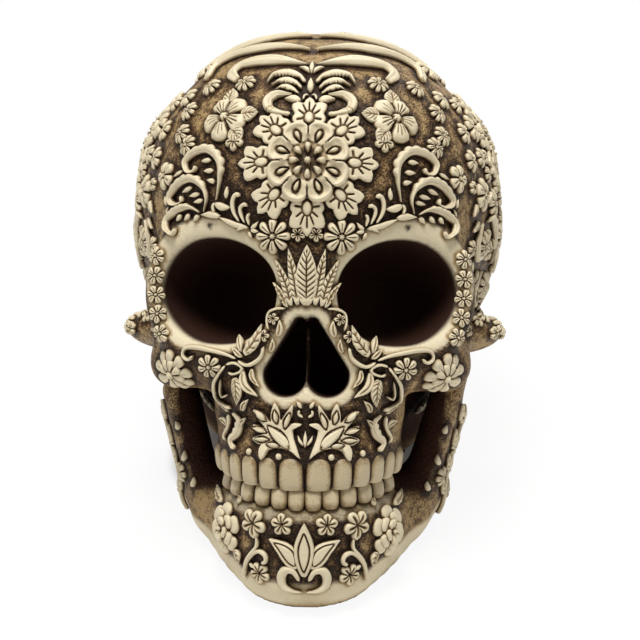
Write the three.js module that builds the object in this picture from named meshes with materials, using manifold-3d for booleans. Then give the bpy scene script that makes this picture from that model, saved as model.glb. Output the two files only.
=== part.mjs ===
// A carved floral skull ornament, cast in resin: a hollow cranium, a glued-on jaw, two rows of
// teeth, felt feet, and flowers, leaves and scrolls applied over the bone.
//
// Millimetres. The head is drawn in a face frame: X to the viewer's right, Y towards the back of
// the head, Z up the face, with the origin midway between the eye sockets on their outer rims.
// The finished head leans back until the edge of its jaw and the foot under the occiput lie level.

import * as THREE from 'three';
import { mergeVertices } from 'three/addons/utils/BufferGeometryUtils.js';
import Module from 'manifold-3d';

const wasm = await Module();
wasm.setup();

// Stance and joints between pieces
const leanDegrees = 27;
const glueGap = 0.4;
const footLand = 1.5;

// Braincase and forehead
const braincaseWidth = 141;
const braincaseLength = 168;
const braincaseHeight = 142;
const braincaseBehindFace = 66;
const braincaseAboveEyes = 30;
const foreheadWidth = 106;
const foreheadBulge = 22;
const foreheadLength = 100;
const foreheadHeight = 96;
const foreheadAboveEyes = 38;
const wallThickness = 8;

// Skull base and the foot that it stands on
const baseWidth = 98;
const baseBelowEyes = 62;
const footWidth = 116;
const footLength = 92;
const footBehindFace = 98;
const footBelowEyes = 74;
const pourHoleDiameter = 34;
const plugThickness = 4;

// Eye sockets
const eyeSpacing = 62;
const eyeWidth = 46;
const eyeHeight = 38.5;
const eyeDepth = 33;
const eyeSetForward = 6;
const eyeTurnDegrees = 20;
const eyeRimThickness = 8;
const eyeSquareness = 2.4;

// Nose
const noseTop = 10;
const noseBottom = 38;
const noseWidth = 30;
const noseDepth = 30;
const noseForward = 20;
const septumThickness = 1.6;

// Cheekbones and arches
const cheekWidth = 118;
const cheekDrop = 27;
const cheekThickness = 19;
const archWidth = 142;
const archDrop = 15;
const archLength = 46;
const archThickness = 17;

// Jaws
const biteForward = 17;
const biteSlope = 0.2;
const upperGumDrop = 60;
const biteDrop = 72.2;
const biteGap = 1.3;
const lowerGumDrop = 80;
const toothArchWidth = 62;
const toothArchDepth = 38;
const toothThickness = 7;
const toothOverlap = 0.9;
const backToothShrink = 0.035;
const rootLength = 3;
const overbite = 2.2;
const upperToothWidths = [8.6, 7, 7.2, 6.8, 6.8, 8.6];
const lowerToothWidths = [5.6, 6, 6.8, 7, 7.2, 9];
const gumInset = 9;
const gumThickness = 14;
const chinDrop = 113.5;
const chinForward = 1;
const jawEdgeThickness = 14.5;
const jawAngleWidth = 94;
const jawAngleBehindFace = 53;
const ramusTopDrop = 30;
const ramusThickness = 12;

// Felt feet
const frontPadDiameter = 8.5;
const frontPadPlace = 0.55;
const rearPadDiameter = 13;
const padThickness = 1.5;
const rearPadSpacing = 58;

// Relief
const reliefHeight = 2.4;
const rosetteRadius = 15;
const rosetteRise = 46;
const leafLength = 10.5;
const leafWidth = 10.5;
const rosetteLeaves = 8;
const templeFlowerRadius = 9.2;
const browFlowerRadius = 6.2;
const cheekFlowerRadius = 8.6;
const sideFlowerRadius = 12.5;
const sideFlowerPlace = [-0.1, 0.42];
const backRosetteRadius = 15;
const backRosetteRise = 34;
const wreathLeaves = 8;
const wreathReach = 1.72;
const archFlowerRadius = 5;
const jawRoseRadius = 8.5;
const chinFlowerRadius = 4.2;
const scrollWidth = 3.4;
const plumeWidth = 6;
const castDepth = 1.2;
const castFlowerRadius = 5.6;
const castPetals = 6;
const castCleft = 0.3;
const dropHeight = 12;

// Plumes over the crown from the outer end of each, across the head and behind the crest
const crestRise = 77;
const plumeRoutes = [
  [[27, 7], [29.3, 13], [25.9, 15.5], [18.2, 12.4], [9, 7.5], [1.4, 3.7]],
  [[39.7, 25.6], [38, 35], [30, 34.5], [18.5, 25.7], [9.2, 19.7], [1.4, 14.4]],
  [[44, 46], [41, 53.5], [31, 53], [19, 45], [9, 38], [1.4, 33]],
];

// Places on the sides and the back of the head, as shares of the braincase from its centre
const onSide = ([back, up]) => [
  braincaseBehindFace + (back * braincaseLength) / 2,
  braincaseAboveEyes + (up * braincaseHeight) / 2,
];
const onBack = ([across, up]) => [
  (across * braincaseWidth) / 2,
  braincaseAboveEyes + (up * braincaseHeight) / 2,
];

// Scrolls: the place that each starts from, its reach, and 1 to rise first or -1 to fall first
const curlShape = [[0, 0], [0.42, 0.27], [0.9, 0.14], [1, -0.2], [0.77, -0.38], [0.6, -0.18]];
const vineCurls = [
  [[0.21, 0.2], 30, 1], [[0, -0.06], 25, 1], [[0.36, -0.25], 26, 1],
  [[-0.07, -0.48], 26, 1], [[0.24, 0.65], 28, 1],
];
const backCurls = [[[0.085, 0.51], 25, 1], [[0.085, -0.39], 24, -1]];

// Small flowers cast with the bone between the scrolls of the sides
const castFlowerPlaces = [
  [0.31, 0.42], [0.62, 0.39], [0.76, 0.06], [0.4, -0.04], [-0.12, -0.11], [-0.33, 0.06],
  [-0.38, 0.45], [-0.31, 0.76], [0, 0.87], [0.29, 0.87], [0.62, 0.62], [0.83, -0.23],
  [0.71, -0.54], [0.33, -0.56], [-0.24, -0.37], [0.07, -0.76], [0.43, -0.79], [-0.43, -0.17],
];
const curlRoute = ([a, b], reach, rise) =>
  curlShape.map(([u, v]) => [a + u * reach, b + rise * v * reach]);

const bone = new THREE.MeshStandardMaterial({ color: 0xb79a66, roughness: 0.62, metalness: 0 });
const relief = new THREE.MeshStandardMaterial({ color: 0xe0cf9f, roughness: 0.5, metalness: 0 });
const enamel = new THREE.MeshStandardMaterial({ color: 0xd8c69a, roughness: 0.45, metalness: 0 });
const felt = new THREE.MeshStandardMaterial({ color: 0x2b2420, roughness: 0.95, metalness: 0 });

const lean = THREE.MathUtils.degToRad(leanDegrees);
const tableNormal = new THREE.Vector3(0, -Math.sin(lean), Math.cos(lean));

// Distance fields of rounded masses, negative inside. A point is [x, y, z].

function blend(a, b, reach) {
  const shared = Math.max(reach - Math.abs(a - b), 0) / reach;
  return Math.min(a, b) - (shared * shared * reach) / 4;
}

function ellipsoid([x, y, z], [cx, cy, cz], [rx, ry, rz], power = 2) {
  const [u, v, w] = [Math.abs(x - cx) / rx, Math.abs(y - cy) / ry, Math.abs(z - cz) / rz];
  const size = Math.max(u ** power + v ** power + w ** power, 1e-6) ** (1 / power);
  const rate = size ** (1 - power);
  const slope = Math.hypot(u ** (power - 1) / rx, v ** (power - 1) / ry, w ** (power - 1) / rz) * rate;
  return (size - 1) / Math.max(slope, 1e-4);
}

function limb([x, y, z], [ax, ay, az, ra], [bx, by, bz, rb]) {
  const [dx, dy, dz] = [bx - ax, by - ay, bz - az];
  const along = ((x - ax) * dx + (y - ay) * dy + (z - az) * dz) / (dx * dx + dy * dy + dz * dz);
  const t = Math.min(Math.max(along, 0), 1);
  return Math.hypot(x - ax - t * dx, y - ay - t * dy, z - az - t * dz) - ra - t * (rb - ra);
}

function chain(p, joints, reach) {
  let nearest = limb(p, joints[0], joints[1]);
  for (let i = 1; i + 1 < joints.length; i++) {
    nearest = blend(nearest, limb(p, joints[i], joints[i + 1]), reach);
  }
  return nearest;
}

// Cranium

const braincaseCentre = [0, braincaseBehindFace, braincaseAboveEyes];
const braincaseRadii = [braincaseWidth / 2, braincaseLength / 2, braincaseHeight / 2];
const foreheadCentre = [0, foreheadLength / 2 - foreheadBulge, foreheadAboveEyes];
const foreheadRadii = [foreheadWidth / 2, foreheadLength / 2, foreheadHeight / 2];
const baseCentre = [0, braincaseBehindFace - 8, (braincaseAboveEyes - baseBelowEyes) / 2];

function cranialMass(p) {
  const braincase = ellipsoid(p, braincaseCentre, braincaseRadii);
  const forehead = ellipsoid(p, foreheadCentre, foreheadRadii);
  const floorHeight = (braincaseAboveEyes + baseBelowEyes) / 2;
  const floor = ellipsoid(p, baseCentre, [baseWidth / 2, baseWidth / 2, floorHeight]);
  const footHeight = (braincaseAboveEyes + footBelowEyes) / 2;
  const footCentre = [0, footBehindFace, braincaseAboveEyes - footHeight];
  const foot = ellipsoid(p, footCentre, [footWidth / 2, footLength / 2, footHeight]);
  return blend(blend(braincase, forehead, 18), blend(floor, foot, 14), 16);
}

const eyeTurn = THREE.MathUtils.degToRad(eyeTurnDegrees);

function inEyeFrame([x, y, z]) {
  const [dx, dy] = [x - eyeSpacing / 2, y + eyeSetForward];
  const lateral = dx * Math.cos(eyeTurn) + dy * Math.sin(eyeTurn);
  const outward = dx * Math.sin(eyeTurn) - dy * Math.cos(eyeTurn);
  return [lateral, outward, z];
}

function eyeSocket(p) {
  return ellipsoid(inEyeFrame(p), [0, 0, 0], [eyeWidth / 2, eyeDepth, eyeHeight / 2], eyeSquareness);
}

function eyeRim(p) {
  const [lateral, outward, up] = inEyeFrame(p);
  const [halfWidth, halfHeight] = [(eyeWidth + eyeRimThickness) / 2, (eyeHeight + eyeRimThickness) / 2];
  const across = ellipsoid([lateral, 0, up], [0, 0, 0], [halfWidth, halfWidth, halfHeight], 2.3);
  return Math.hypot(across, outward + 1) - eyeRimThickness / 2;
}

const noseLobe = noseWidth / 4;
const spineTop = noseLobe + 1 - noseBottom;

function noseCavity([x, y, z]) {
  const [tip, lobe] = [[2.2, 0, -noseTop - 2.4, 2.4], [noseLobe, 0, noseLobe - noseBottom, noseLobe]];
  const pear = limb([x, 0, z], tip, lobe);
  return Math.max(pear, y - noseDepth + noseForward);
}

function faceMass(p) {
  const orbitBlock = ellipsoid(p, [0, 20, 0], [52, 32, 26]);
  const bridge = limb(p, [0, 8 - noseForward, 6, 9], [0, 1 - noseForward + 4, -noseTop - 1, 6.5]);
  const noseWall = limb(p, [8, -11, -4, 7], [noseWidth / 2 + 3, -6, -noseBottom + 3, 8]);
  const cheek = limb(
    p,
    [cheekWidth / 2 - 26, 1, 1 - cheekDrop, cheekThickness / 2],
    [(cheekWidth - cheekThickness) / 2, 14, -cheekDrop, cheekThickness / 2],
  );
  const temple = ellipsoid(p, [40, 18, -2], [15.5, 20, 26]);
  const archCentre = [(archWidth - archLength) / 2, 40, -archDrop];
  const arch = ellipsoid(p, archCentre, [archLength / 2, archLength / 2, archThickness / 2]);
  const maxilla = ellipsoid(p, [0, 15, -42], [35, 31, 28]);
  const gumCentre = [0, toothArchDepth - biteForward, -upperGumDrop];
  const gum = ellipsoid(p, gumCentre, [toothArchWidth / 2 + 3, toothArchDepth + 1, 15]);
  const upperJaw = Math.max(blend(maxilla, gum, 8), gumLine(p, -upperGumDrop));
  const orbits = blend(blend(orbitBlock, temple, 8), eyeRim(p), 7);
  const upperFace = blend(orbits, blend(bridge, noseWall, 6), 7);
  return blend(blend(upperFace, upperJaw, 8), blend(cheek, arch, 11), 9);
}

// Height of a point under a gum line that slopes up towards the back teeth
function gumLine([, y, z], height) {
  return height + biteSlope * (y + biteForward) - z;
}

function bonesField([x, y, z]) {
  const p = [Math.abs(x), y, z];
  return blend(cranialMass(p), faceMass(p), 10);
}

function craniumField(point) {
  const p = [Math.abs(point[0]), point[1], point[2]];
  return Math.max(bonesField(p), -eyeSocket(p), -noseCavity(p));
}

// The hollow keeps the wall's thickness behind the bone and behind the sockets
function hollowField([x, y, z]) {
  const p = [Math.abs(x), y, z];
  const inside = cranialMass(p) + wallThickness;
  const overFoot = new THREE.Vector3(...p).dot(tableNormal) - tableHeight;
  const clear = Math.min(eyeSocket(p), noseCavity(p), overFoot, y);
  return Math.max(inside, wallThickness - clear);
}

// Jaw

const jawEdge = jawEdgeThickness / 2;
const angleOut = jawAngleWidth / 2 - jawEdge;

// A point on the middle of the jaw's lower edge, from the chin at 0 to the jaw angle at 1.
// The edge runs level with the table that the head rests on.
function alongJaw(t) {
  const back = (jawAngleBehindFace + chinForward) * t ** 2.2;
  return [angleOut * t, back - chinForward, jawEdge - chinDrop + back * Math.tan(lean)];
}

// The table plane touches the jaw's lower edge and takes a flat land off it
const chinPoint = new THREE.Vector3(...alongJaw(0));
const jawAngle = alongJaw(1);
const tableHeight = chinPoint.dot(tableNormal) - jawEdge + footLand;

function onTable(point) {
  return point.clone().addScaledVector(tableNormal, tableHeight - point.dot(tableNormal));
}

// A point on the middle of the lower gum, from the front teeth at 0 to the back teeth at 1
function alongGum(t) {
  const angle = (t * Math.PI) / 2.1;
  const y = toothArchDepth * (1 - Math.cos(angle)) - biteForward + gumInset;
  const z = gumInset / -2 - lowerGumDrop + biteSlope * (y + biteForward);
  return [(toothArchWidth / 2 - gumInset / 2) * Math.sin(angle), y, z];
}

function jawBody(p) {
  const stations = [0, 0.2, 0.4, 0.6, 0.8, 1];
  const edge = stations.map((t) => [...alongJaw(t), jawEdge]);
  const gum = stations.map((t) => [...alongGum(t), gumThickness / 2]);
  const flank = edge.map((joint, i) => joint.map((value, axis) => (value + gum[i][axis]) / 2));
  const chinBoss = ellipsoid(p, [0, 4 - chinForward, jawEdge + 5 - chinDrop], [20, 10, 11]);
  const body = blend(blend(chain(p, edge, 5), chain(p, gum, 5), 14), chain(p, flank, 5), 8);
  return Math.max(blend(body, chinBoss, 8), gumLineBelow(p));
}

// Height of a point over the lower gum line
function gumLineBelow([, y, z]) {
  return z + lowerGumDrop - biteSlope * (y + biteForward);
}

function ramus(p) {
  const half = ramusThickness / 2;
  const [out, back, height] = jawAngle;
  const top = -ramusTopDrop;
  const rear = limb(p, [out + 3, back, height + 4, half], [out + 14, back + 4, top, half]);
  const front = limb(p, [out - 2, back - 20, height - 3, half], [out + 11, back - 20, top - 8, half]);
  const web = limb(p, [out + 2, back - 10, height + 4, half], [out + 11, back - 8, top - 14, half]);
  return blend(blend(rear, front, 6), web, 10);
}

function jawField([x, y, z]) {
  const p = [Math.abs(x), y, z];
  const jaw = blend(jawBody(p), ramus(p), 10);
  return Math.max(jaw, 2 * glueGap - craniumField(p));
}

// Meshes

class Sketch {
  points = [];
  faces = [];

  add(point) {
    return this.points.push(point) - 1;
  }

  triangle(a, b, c) {
    this.faces.push(a, b, c);
  }

  // Splits along the shorter diagonal
  quad(a, b, c, d) {
    const [p, q, r, s] = [a, b, c, d].map((i) => this.points[i]);
    if (p.distanceTo(r) <= q.distanceTo(s)) {
      this.faces.push(a, b, c, a, c, d);
    } else {
      this.faces.push(a, b, d, b, c, d);
    }
  }

  geometry() {
    return new THREE.BufferGeometry().setFromPoints(this.points).setIndex(this.faces);
  }
}

function ticks(...runs) {
  const lines = [runs[0][0]];
  for (const [from, to, step] of runs) {
    const count = Math.max(Math.round((to - from) / step), 1);
    for (let i = 1; i <= count; i++) {
      lines.push(from + ((to - from) * i) / count);
    }
  }
  return lines;
}

function slopeOf(field, p) {
  const step = 0.05;
  const [x, y, z] = p.toArray();
  return new THREE.Vector3(
    field([x + step, y, z]) - field([x - step, y, z]),
    field([x, y + step, z]) - field([x, y - step, z]),
    field([x, y, z + step]) - field([x, y, z - step]),
  ).divideScalar(2 * step);
}

// Skins a field over a grid: one vertex for each sheet of the surface in each cell that it crosses

const cellCorners = [0, 1, 2, 3, 4, 5, 6, 7].map((c) => [c & 1, (c >> 1) & 1, c >> 2]);
const axisBits = [1, 2, 4];
const edgesFrom = (corner) => axisBits.filter((bit) => !(corner & bit)).map((bit) => [corner, corner | bit]);
const cellEdges = cellCorners.flatMap((_, corner) => edgesFrom(corner));
const edgeBetween = (a, b) => cellEdges.findIndex((ends) => ends.includes(a) && ends.includes(b));
const cellFaces = axisBits.flatMap((bit) => {
  const [first, second] = axisBits.filter((other) => other !== bit);
  return [0, bit].map((side) => [side, side + first, side + first + second, side + second]);
});

// Groups the crossed edges of a cell into the sheets that join them across the cell's faces
function sheetsOf(value) {
  const inside = value.map((v) => v < 0);
  const sheet = cellEdges.map(([a, b], i) => (inside[a] !== inside[b] ? i : -1));
  const join = (a, b) => {
    const [keep, drop] = [sheet[a], sheet[b]];
    sheet.forEach((s, i) => (sheet[i] = s === drop ? keep : s));
  };
  for (const face of cellFaces) {
    const rim = face.map((corner, i) => edgeBetween(corner, face[(i + 1) % 4]));
    const crossed = rim.filter((edge) => sheet[edge] >= 0);
    if (crossed.length === 2) join(...crossed);
    if (crossed.length < 4) continue;
    const solidMiddle = face.reduce((sum, corner) => sum + value[corner], 0) < 0;
    face.forEach((corner, i) => {
      if (inside[corner] !== solidMiddle) join(rim[(i + 3) % 4], rim[i]);
    });
  }
  return sheet;
}

function skin(field, xs, ys, zs) {
  const sketch = new Sketch();
  const [nx, ny, nz] = [xs.length, ys.length, zs.length];
  const at = (i, j, k) => (i * ny + j) * nz + k;
  const values = new Float64Array(nx * ny * nz);
  xs.forEach((x, i) => ys.forEach((y, j) => zs.forEach((z, k) => (values[at(i, j, k)] = field([x, y, z])))));
  const vertices = new Map();
  const inset = 0.015;

  const addCell = (i, j, k) => {
    const value = cellCorners.map(([a, b, c]) => values[at(i + a, j + b, k + c)]);
    if (value.every((v) => v < 0) || value.every((v) => v >= 0)) return;
    const spot = (corner) => {
      const [a, b, c] = cellCorners[corner];
      return new THREE.Vector3(xs[i + a], ys[j + b], zs[k + c]);
    };
    const [low, high] = [spot(0).lerp(spot(7), inset), spot(7).lerp(spot(0), inset)];
    const sheet = sheetsOf(value);
    for (const name of new Set(sheet.filter((s) => s >= 0))) {
      const crossed = cellEdges.filter((_, e) => sheet[e] === name);
      const point = new THREE.Vector3();
      for (const [a, b] of crossed) {
        point.add(spot(a).lerp(spot(b), value[a] / (value[a] - value[b])));
      }
      point.divideScalar(crossed.length);
      const slope = slopeOf(field, point);
      const miss = field(point.toArray()) / Math.max(slope.lengthSq(), 0.2);
      const vertex = sketch.add(point.addScaledVector(slope, -miss).clamp(low, high));
      sheet.forEach((s, e) => s === name && vertices.set(at(i, j, k) * 12 + e, vertex));
    }
  };
  for (let i = 0; i + 1 < nx; i++) {
    for (let j = 0; j + 1 < ny; j++) {
      for (let k = 0; k + 1 < nz; k++) addCell(i, j, k);
    }
  }

  // Each crossed grid edge gets the quad of the four cells around it
  const vertexOf = (i, j, k, a, b) => vertices.get(at(i, j, k) * 12 + edgeBetween(a, b));
  const addQuad = (inside, ring) => sketch.quad(...(inside ? ring : ring.reverse()));
  for (let i = 0; i + 1 < nx; i++) {
    for (let j = 0; j + 1 < ny; j++) {
      for (let k = 0; k + 1 < nz; k++) {
        const inside = values[at(i, j, k)] < 0;
        if (j && k && inside !== values[at(i + 1, j, k)] < 0) {
          const [a, b] = [vertexOf(i, j - 1, k - 1, 6, 7), vertexOf(i, j, k - 1, 4, 5)];
          addQuad(inside, [a, b, vertexOf(i, j, k, 0, 1), vertexOf(i, j - 1, k, 2, 3)]);
        }
        if (i && k && inside !== values[at(i, j + 1, k)] < 0) {
          const [a, b] = [vertexOf(i - 1, j, k - 1, 5, 7), vertexOf(i - 1, j, k, 1, 3)];
          addQuad(inside, [a, b, vertexOf(i, j, k, 0, 2), vertexOf(i, j, k - 1, 4, 6)]);
        }
        if (i && j && inside !== values[at(i, j, k + 1)] < 0) {
          const [a, b] = [vertexOf(i - 1, j - 1, k, 3, 7), vertexOf(i, j - 1, k, 2, 6)];
          addQuad(inside, [a, b, vertexOf(i, j, k, 0, 4), vertexOf(i - 1, j, k, 1, 5)]);
        }
      }
    }
  }
  return sketch.geometry();
}

function toSolid(geometry) {
  const plain = new THREE.BufferGeometry().setAttribute('position', geometry.getAttribute('position'));
  plain.setIndex(geometry.index);
  const merged = mergeVertices(plain, 1e-3);
  const mesh = new wasm.Mesh({
    numProp: 3,
    vertProperties: new Float32Array(merged.attributes.position.array),
    triVerts: new Uint32Array(merged.index.array),
  });
  return new wasm.Manifold(mesh);
}

function toGeometry(solid) {
  const mesh = solid.getMesh();
  const geometry = new THREE.BufferGeometry();
  geometry.setAttribute('position', new THREE.BufferAttribute(mesh.vertProperties, 3));
  return geometry.setIndex(new THREE.BufferAttribute(mesh.triVerts, 1));
}

function upright(geometry, position) {
  return geometry.rotateX(Math.PI / 2 + lean).translate(...position.toArray());
}

function belowTable() {
  const size = 4 * braincaseLength;
  const middle = tableNormal.clone().multiplyScalar(tableHeight - size / 2);
  return toSolid(new THREE.BoxGeometry(size, size, size).rotateX(lean).translate(...middle.toArray()));
}

const meshTolerance = 0.12;
const fineStep = 7;
const middleStep = 9;
const coarseStep = 12.5;
const hollowStep = 18;
const sideReach = Math.max(braincaseWidth, archWidth) / 2 + 9;
const backReach = braincaseBehindFace + braincaseLength / 2 + 9;
const topReach = braincaseAboveEyes + braincaseHeight / 2 + 9;
const footMiddle = onTable(new THREE.Vector3(0, footBehindFace + 6, -footBelowEyes));

// The socket's hollow as a solid, to be cut from the face on its own side
function eyeCutter(side) {
  const cutter = new THREE.SphereGeometry(1, 24, 14);
  const position = cutter.getAttribute('position');
  const point = new THREE.Vector3();
  for (let i = 0; i < position.count; i++) {
    point.fromBufferAttribute(position, i);
    const sum = point.toArray().reduce((total, c) => total + Math.abs(c) ** eyeSquareness, 0);
    position.setXYZ(i, ...point.divideScalar(sum ** (1 / eyeSquareness)).toArray());
  }
  cutter.scale(eyeWidth / 2, eyeHeight / 2, eyeDepth).rotateX(Math.PI / 2).rotateZ(side * eyeTurn);
  return toSolid(cutter.translate((side * eyeSpacing) / 2, -eyeSetForward, 0));
}

// The nose opening: two round lobes that narrow to a point at the top and meet over a small spine
function noseCutter() {
  const half = noseWidth / 2;
  const lobeHeight = noseLobe - noseBottom;
  const pear = new THREE.Shape();
  pear.moveTo(0, -noseTop);
  pear.quadraticCurveTo(half * 0.55, -noseTop, half * 0.98, lobeHeight);
  pear.quadraticCurveTo(half, -noseBottom, noseLobe, -noseBottom);
  pear.quadraticCurveTo(2, -noseBottom, 0, spineTop);
  pear.quadraticCurveTo(-2, -noseBottom, -noseLobe, -noseBottom);
  pear.quadraticCurveTo(-half, -noseBottom, -half * 0.98, lobeHeight);
  pear.quadraticCurveTo(-half * 0.55, -noseTop, 0, -noseTop);
  const reach = noseDepth + noseForward;
  const cutter = new THREE.ExtrudeGeometry(pear, { depth: reach, bevelEnabled: false, curveSegments: 6 });
  return toSolid(cutter.rotateX(Math.PI / 2).translate(0, noseDepth - noseForward, 0));
}

function craniumSolid() {
  const across = ticks([-sideReach, sideReach, fineStep]);
  const back = ticks([-noseForward - 16, 30, fineStep], [30, 66, middleStep], [66, backReach, coarseStep]);
  const low = -upperGumDrop - 4;
  const up = ticks([-footBelowEyes - 12, low, coarseStep], [low, 30, fineStep], [30, topReach, coarseStep]);
  const hollowAcross = ticks([-sideReach, sideReach, hollowStep]);
  const hollowBack = ticks([-noseForward - 16, backReach, hollowStep]);
  const hollowUp = ticks([-footBelowEyes - 12, topReach, hollowStep]);
  const hollow = toSolid(skin(hollowField, hollowAcross, hollowBack, hollowUp));
  const holeRadius = pourHoleDiameter / 2;
  const hole = upright(new THREE.CylinderGeometry(holeRadius, holeRadius, 3 * wallThickness, 28), footMiddle);
  const cutters = [hollow, toSolid(hole), belowTable(), eyeCutter(-1), eyeCutter(1), noseCutter()];
  const bones = toSolid(skin(bonesField, across, back, up));
  return cutters.reduce((solid, cutter) => solid.subtract(cutter), bones);
}

function jawSolid() {
  const reach = jawAngleWidth / 2 + 16;
  const across = ticks([-reach, reach, fineStep]);
  const back = ticks([-biteForward - 14, jawAngleBehindFace + 18, fineStep]);
  const up = ticks([-chinDrop - 9, 4 - ramusTopDrop + ramusThickness, fineStep]);
  return toSolid(skin(jawField, across, back, up)).subtract(belowTable());
}

// Teeth: rounded crowns set side by side round the bite, trimmed flat at the gum

// A crown stands on its biting edge: wide at mid height, waisted at the neck
function crown(width, height, thickness) {
  const sections = [[0, 0.84, 0.45], [0.3, 1, 0.85], [1, 0.84, 1]];
  const sides = 8;
  const soften = (value) => Math.sign(value) * Math.abs(value) ** 0.7;
  const rings = sections.map(([rise, wide, deep]) =>
    Array.from({ length: sides }, (_, i) => {
      const angle = (2 * Math.PI * i) / sides;
      const x = (soften(Math.cos(angle)) * wide * width) / 2;
      return new THREE.Vector3(x, (soften(Math.sin(angle)) * deep * thickness) / 2, rise * height);
    }),
  );
  const sketch = new Sketch();
  const rows = rings.map((ring) => ring.map((point) => sketch.add(point)));
  for (let i = 0; i + 1 < rows.length; i++) {
    rows[i].forEach((corner, j) => {
      const next = (j + 1) % rows[i].length;
      sketch.quad(corner, rows[i][next], rows[i + 1][next], rows[i + 1][j]);
    });
  }
  for (let j = 1; j + 1 < rows[0].length; j++) {
    sketch.triangle(rows[0][0], rows[0][j + 1], rows[0][j]);
    sketch.triangle(rows.at(-1)[0], rows.at(-1)[j], rows.at(-1)[j + 1]);
  }
  return sketch.geometry();
}

function toothRow(widths, gumDrop, edgeDrop, setBack) {
  const height = Math.abs(edgeDrop - gumDrop);
  const upward = edgeDrop > gumDrop ? 1 : -1;
  const [halfWidth, depth] = [toothArchWidth / 2 - setBack, toothArchDepth];
  let row = null;
  for (const side of [-1, 1]) {
    let angle = 0;
    const advance = (distance) => {
      angle += distance / Math.hypot(halfWidth * Math.cos(angle), depth * Math.sin(angle));
    };
    widths.forEach((width, place) => {
      const tall = height * (1 - backToothShrink * place) + rootLength;
      advance(width / 2);
      const centre = [
        side * halfWidth * Math.sin(angle),
        depth - biteForward + toothThickness / 2 + setBack - depth * Math.cos(angle),
      ];
      const edge = biteSlope * (centre[1] + biteForward) - edgeDrop;
      const heading = Math.atan2(side * depth * Math.sin(angle), halfWidth * Math.cos(angle));
      const tooth = crown(width + toothOverlap, tall, toothThickness);
      if (upward < 0) tooth.rotateY(Math.PI);
      tooth.rotateZ(heading).translate(centre[0], centre[1], edge);
      row = row ? row.add(toSolid(tooth)) : toSolid(tooth);
      advance(width / 2);
    });
  }
  const gumBlock = new THREE.BoxGeometry(4 * toothArchWidth, 4 * toothArchWidth, toothArchWidth);
  const blockHeight = -gumDrop + upward * (toothArchWidth / 2 - glueGap);
  gumBlock.rotateX(Math.atan(biteSlope)).translate(0, -biteForward, blockHeight);
  return row.subtract(toSolid(gumBlock));
}

// Relief: every motif is drawn flat and laid over the bone

const caster = new THREE.Raycaster();

function meet(bone, start, along) {
  caster.set(start, along);
  const [hit] = caster.intersectObject(bone.mesh);
  return hit ? hit.point : start;
}

// A spot on a bone: lay(u, v, height) puts a point of a flat drawing over the bone, at a height above it
function groundAt(bone, start, along) {
  const centre = meet(bone, start, along);
  const normal = slopeOf(bone.field, centre).normalize();
  const upright = Math.abs(normal.z) > 0.85 ? new THREE.Vector3(0, 1, 0) : new THREE.Vector3(0, 0, 1);
  const up = upright.addScaledVector(normal, -normal.dot(upright)).normalize();
  const right = up.clone().cross(normal);
  const inward = normal.clone().negate();
  const lay = (u, v, height) => {
    const over = centre.clone().addScaledVector(right, u).addScaledVector(up, v);
    const rest = meet(bone, over.addScaledVector(normal, dropHeight), inward);
    return rest.clone().addScaledVector(slopeOf(bone.field, rest).normalize(), height);
  };
  return { bone, centre, lay };
}

// Seats a motif as low as it will go without sinking into the bone
function seated(bone, draw) {
  let seat = glueGap;
  let motif = draw(seat);
  while (toSolid(motif).intersect(bone.solid).volume() > 1e-3 && seat < reliefHeight) {
    seat += glueGap / 2;
    motif = draw(seat);
  }
  return motif;
}

const farAway = 1.5 * braincaseLength;
const onto = (bone, start, along) => groundAt(bone, new THREE.Vector3(...start), new THREE.Vector3(...along));
const fromFront = (bone, x, z) => onto(bone, [x, -farAway, z], [0, 1, 0]);
const fromBack = (bone, x, z) => onto(bone, [x, farAway, z], [0, -1, 0]);
const fromSide = (bone, y, z) => onto(bone, [farAway, y, z], [-1, 0, 0]);
const fromTop = (bone, x, y) => onto(bone, [x, y, farAway], [0, 0, -1]);

// Closes a top and a bottom grid of points into a slab; wrapped grids close round a middle point
function slab(top, bottom, middle) {
  const sketch = new Sketch();
  const [upper, lower] = [top, bottom].map((rows) => rows.map((row) => row.map((p) => sketch.add(p))));
  const wrap = Boolean(middle);
  const columns = top[0].length;
  const spans = wrap ? columns : columns - 1;
  const pave = (rows, flip) => {
    for (let i = 0; i + 1 < rows.length; i++) {
      for (let j = 0; j < spans; j++) {
        const ring = [rows[i][j], rows[i + 1][j], rows[i + 1][(j + 1) % columns], rows[i][(j + 1) % columns]];
        sketch.quad(...(flip ? ring.reverse() : ring));
      }
    }
  };
  pave(upper, false);
  pave(lower, true);
  const fence = (above, below) => {
    for (let j = 0; j + 1 < above.length; j++) {
      sketch.quad(above[j], below[j], below[j + 1], above[j + 1]);
    }
  };
  const [outerTop, outerBottom] = [upper.at(-1), lower.at(-1)];
  if (wrap) {
    const [crest, seat] = middle.map((p) => sketch.add(p));
    for (let j = 0; j < columns; j++) {
      sketch.triangle(crest, upper[0][j], upper[0][(j + 1) % columns]);
      sketch.triangle(seat, lower[0][(j + 1) % columns], lower[0][j]);
    }
    fence([...outerTop, outerTop[0]], [...outerBottom, outerBottom[0]]);
  } else {
    fence(outerTop, outerBottom);
    fence([...upper[0]].reverse(), [...lower[0]].reverse());
    fence(upper.map((row) => row[0]), lower.map((row) => row[0]));
    fence(upper.map((row) => row.at(-1)).reverse(), lower.map((row) => row.at(-1)).reverse());
  }
  return sketch.geometry();
}

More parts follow.
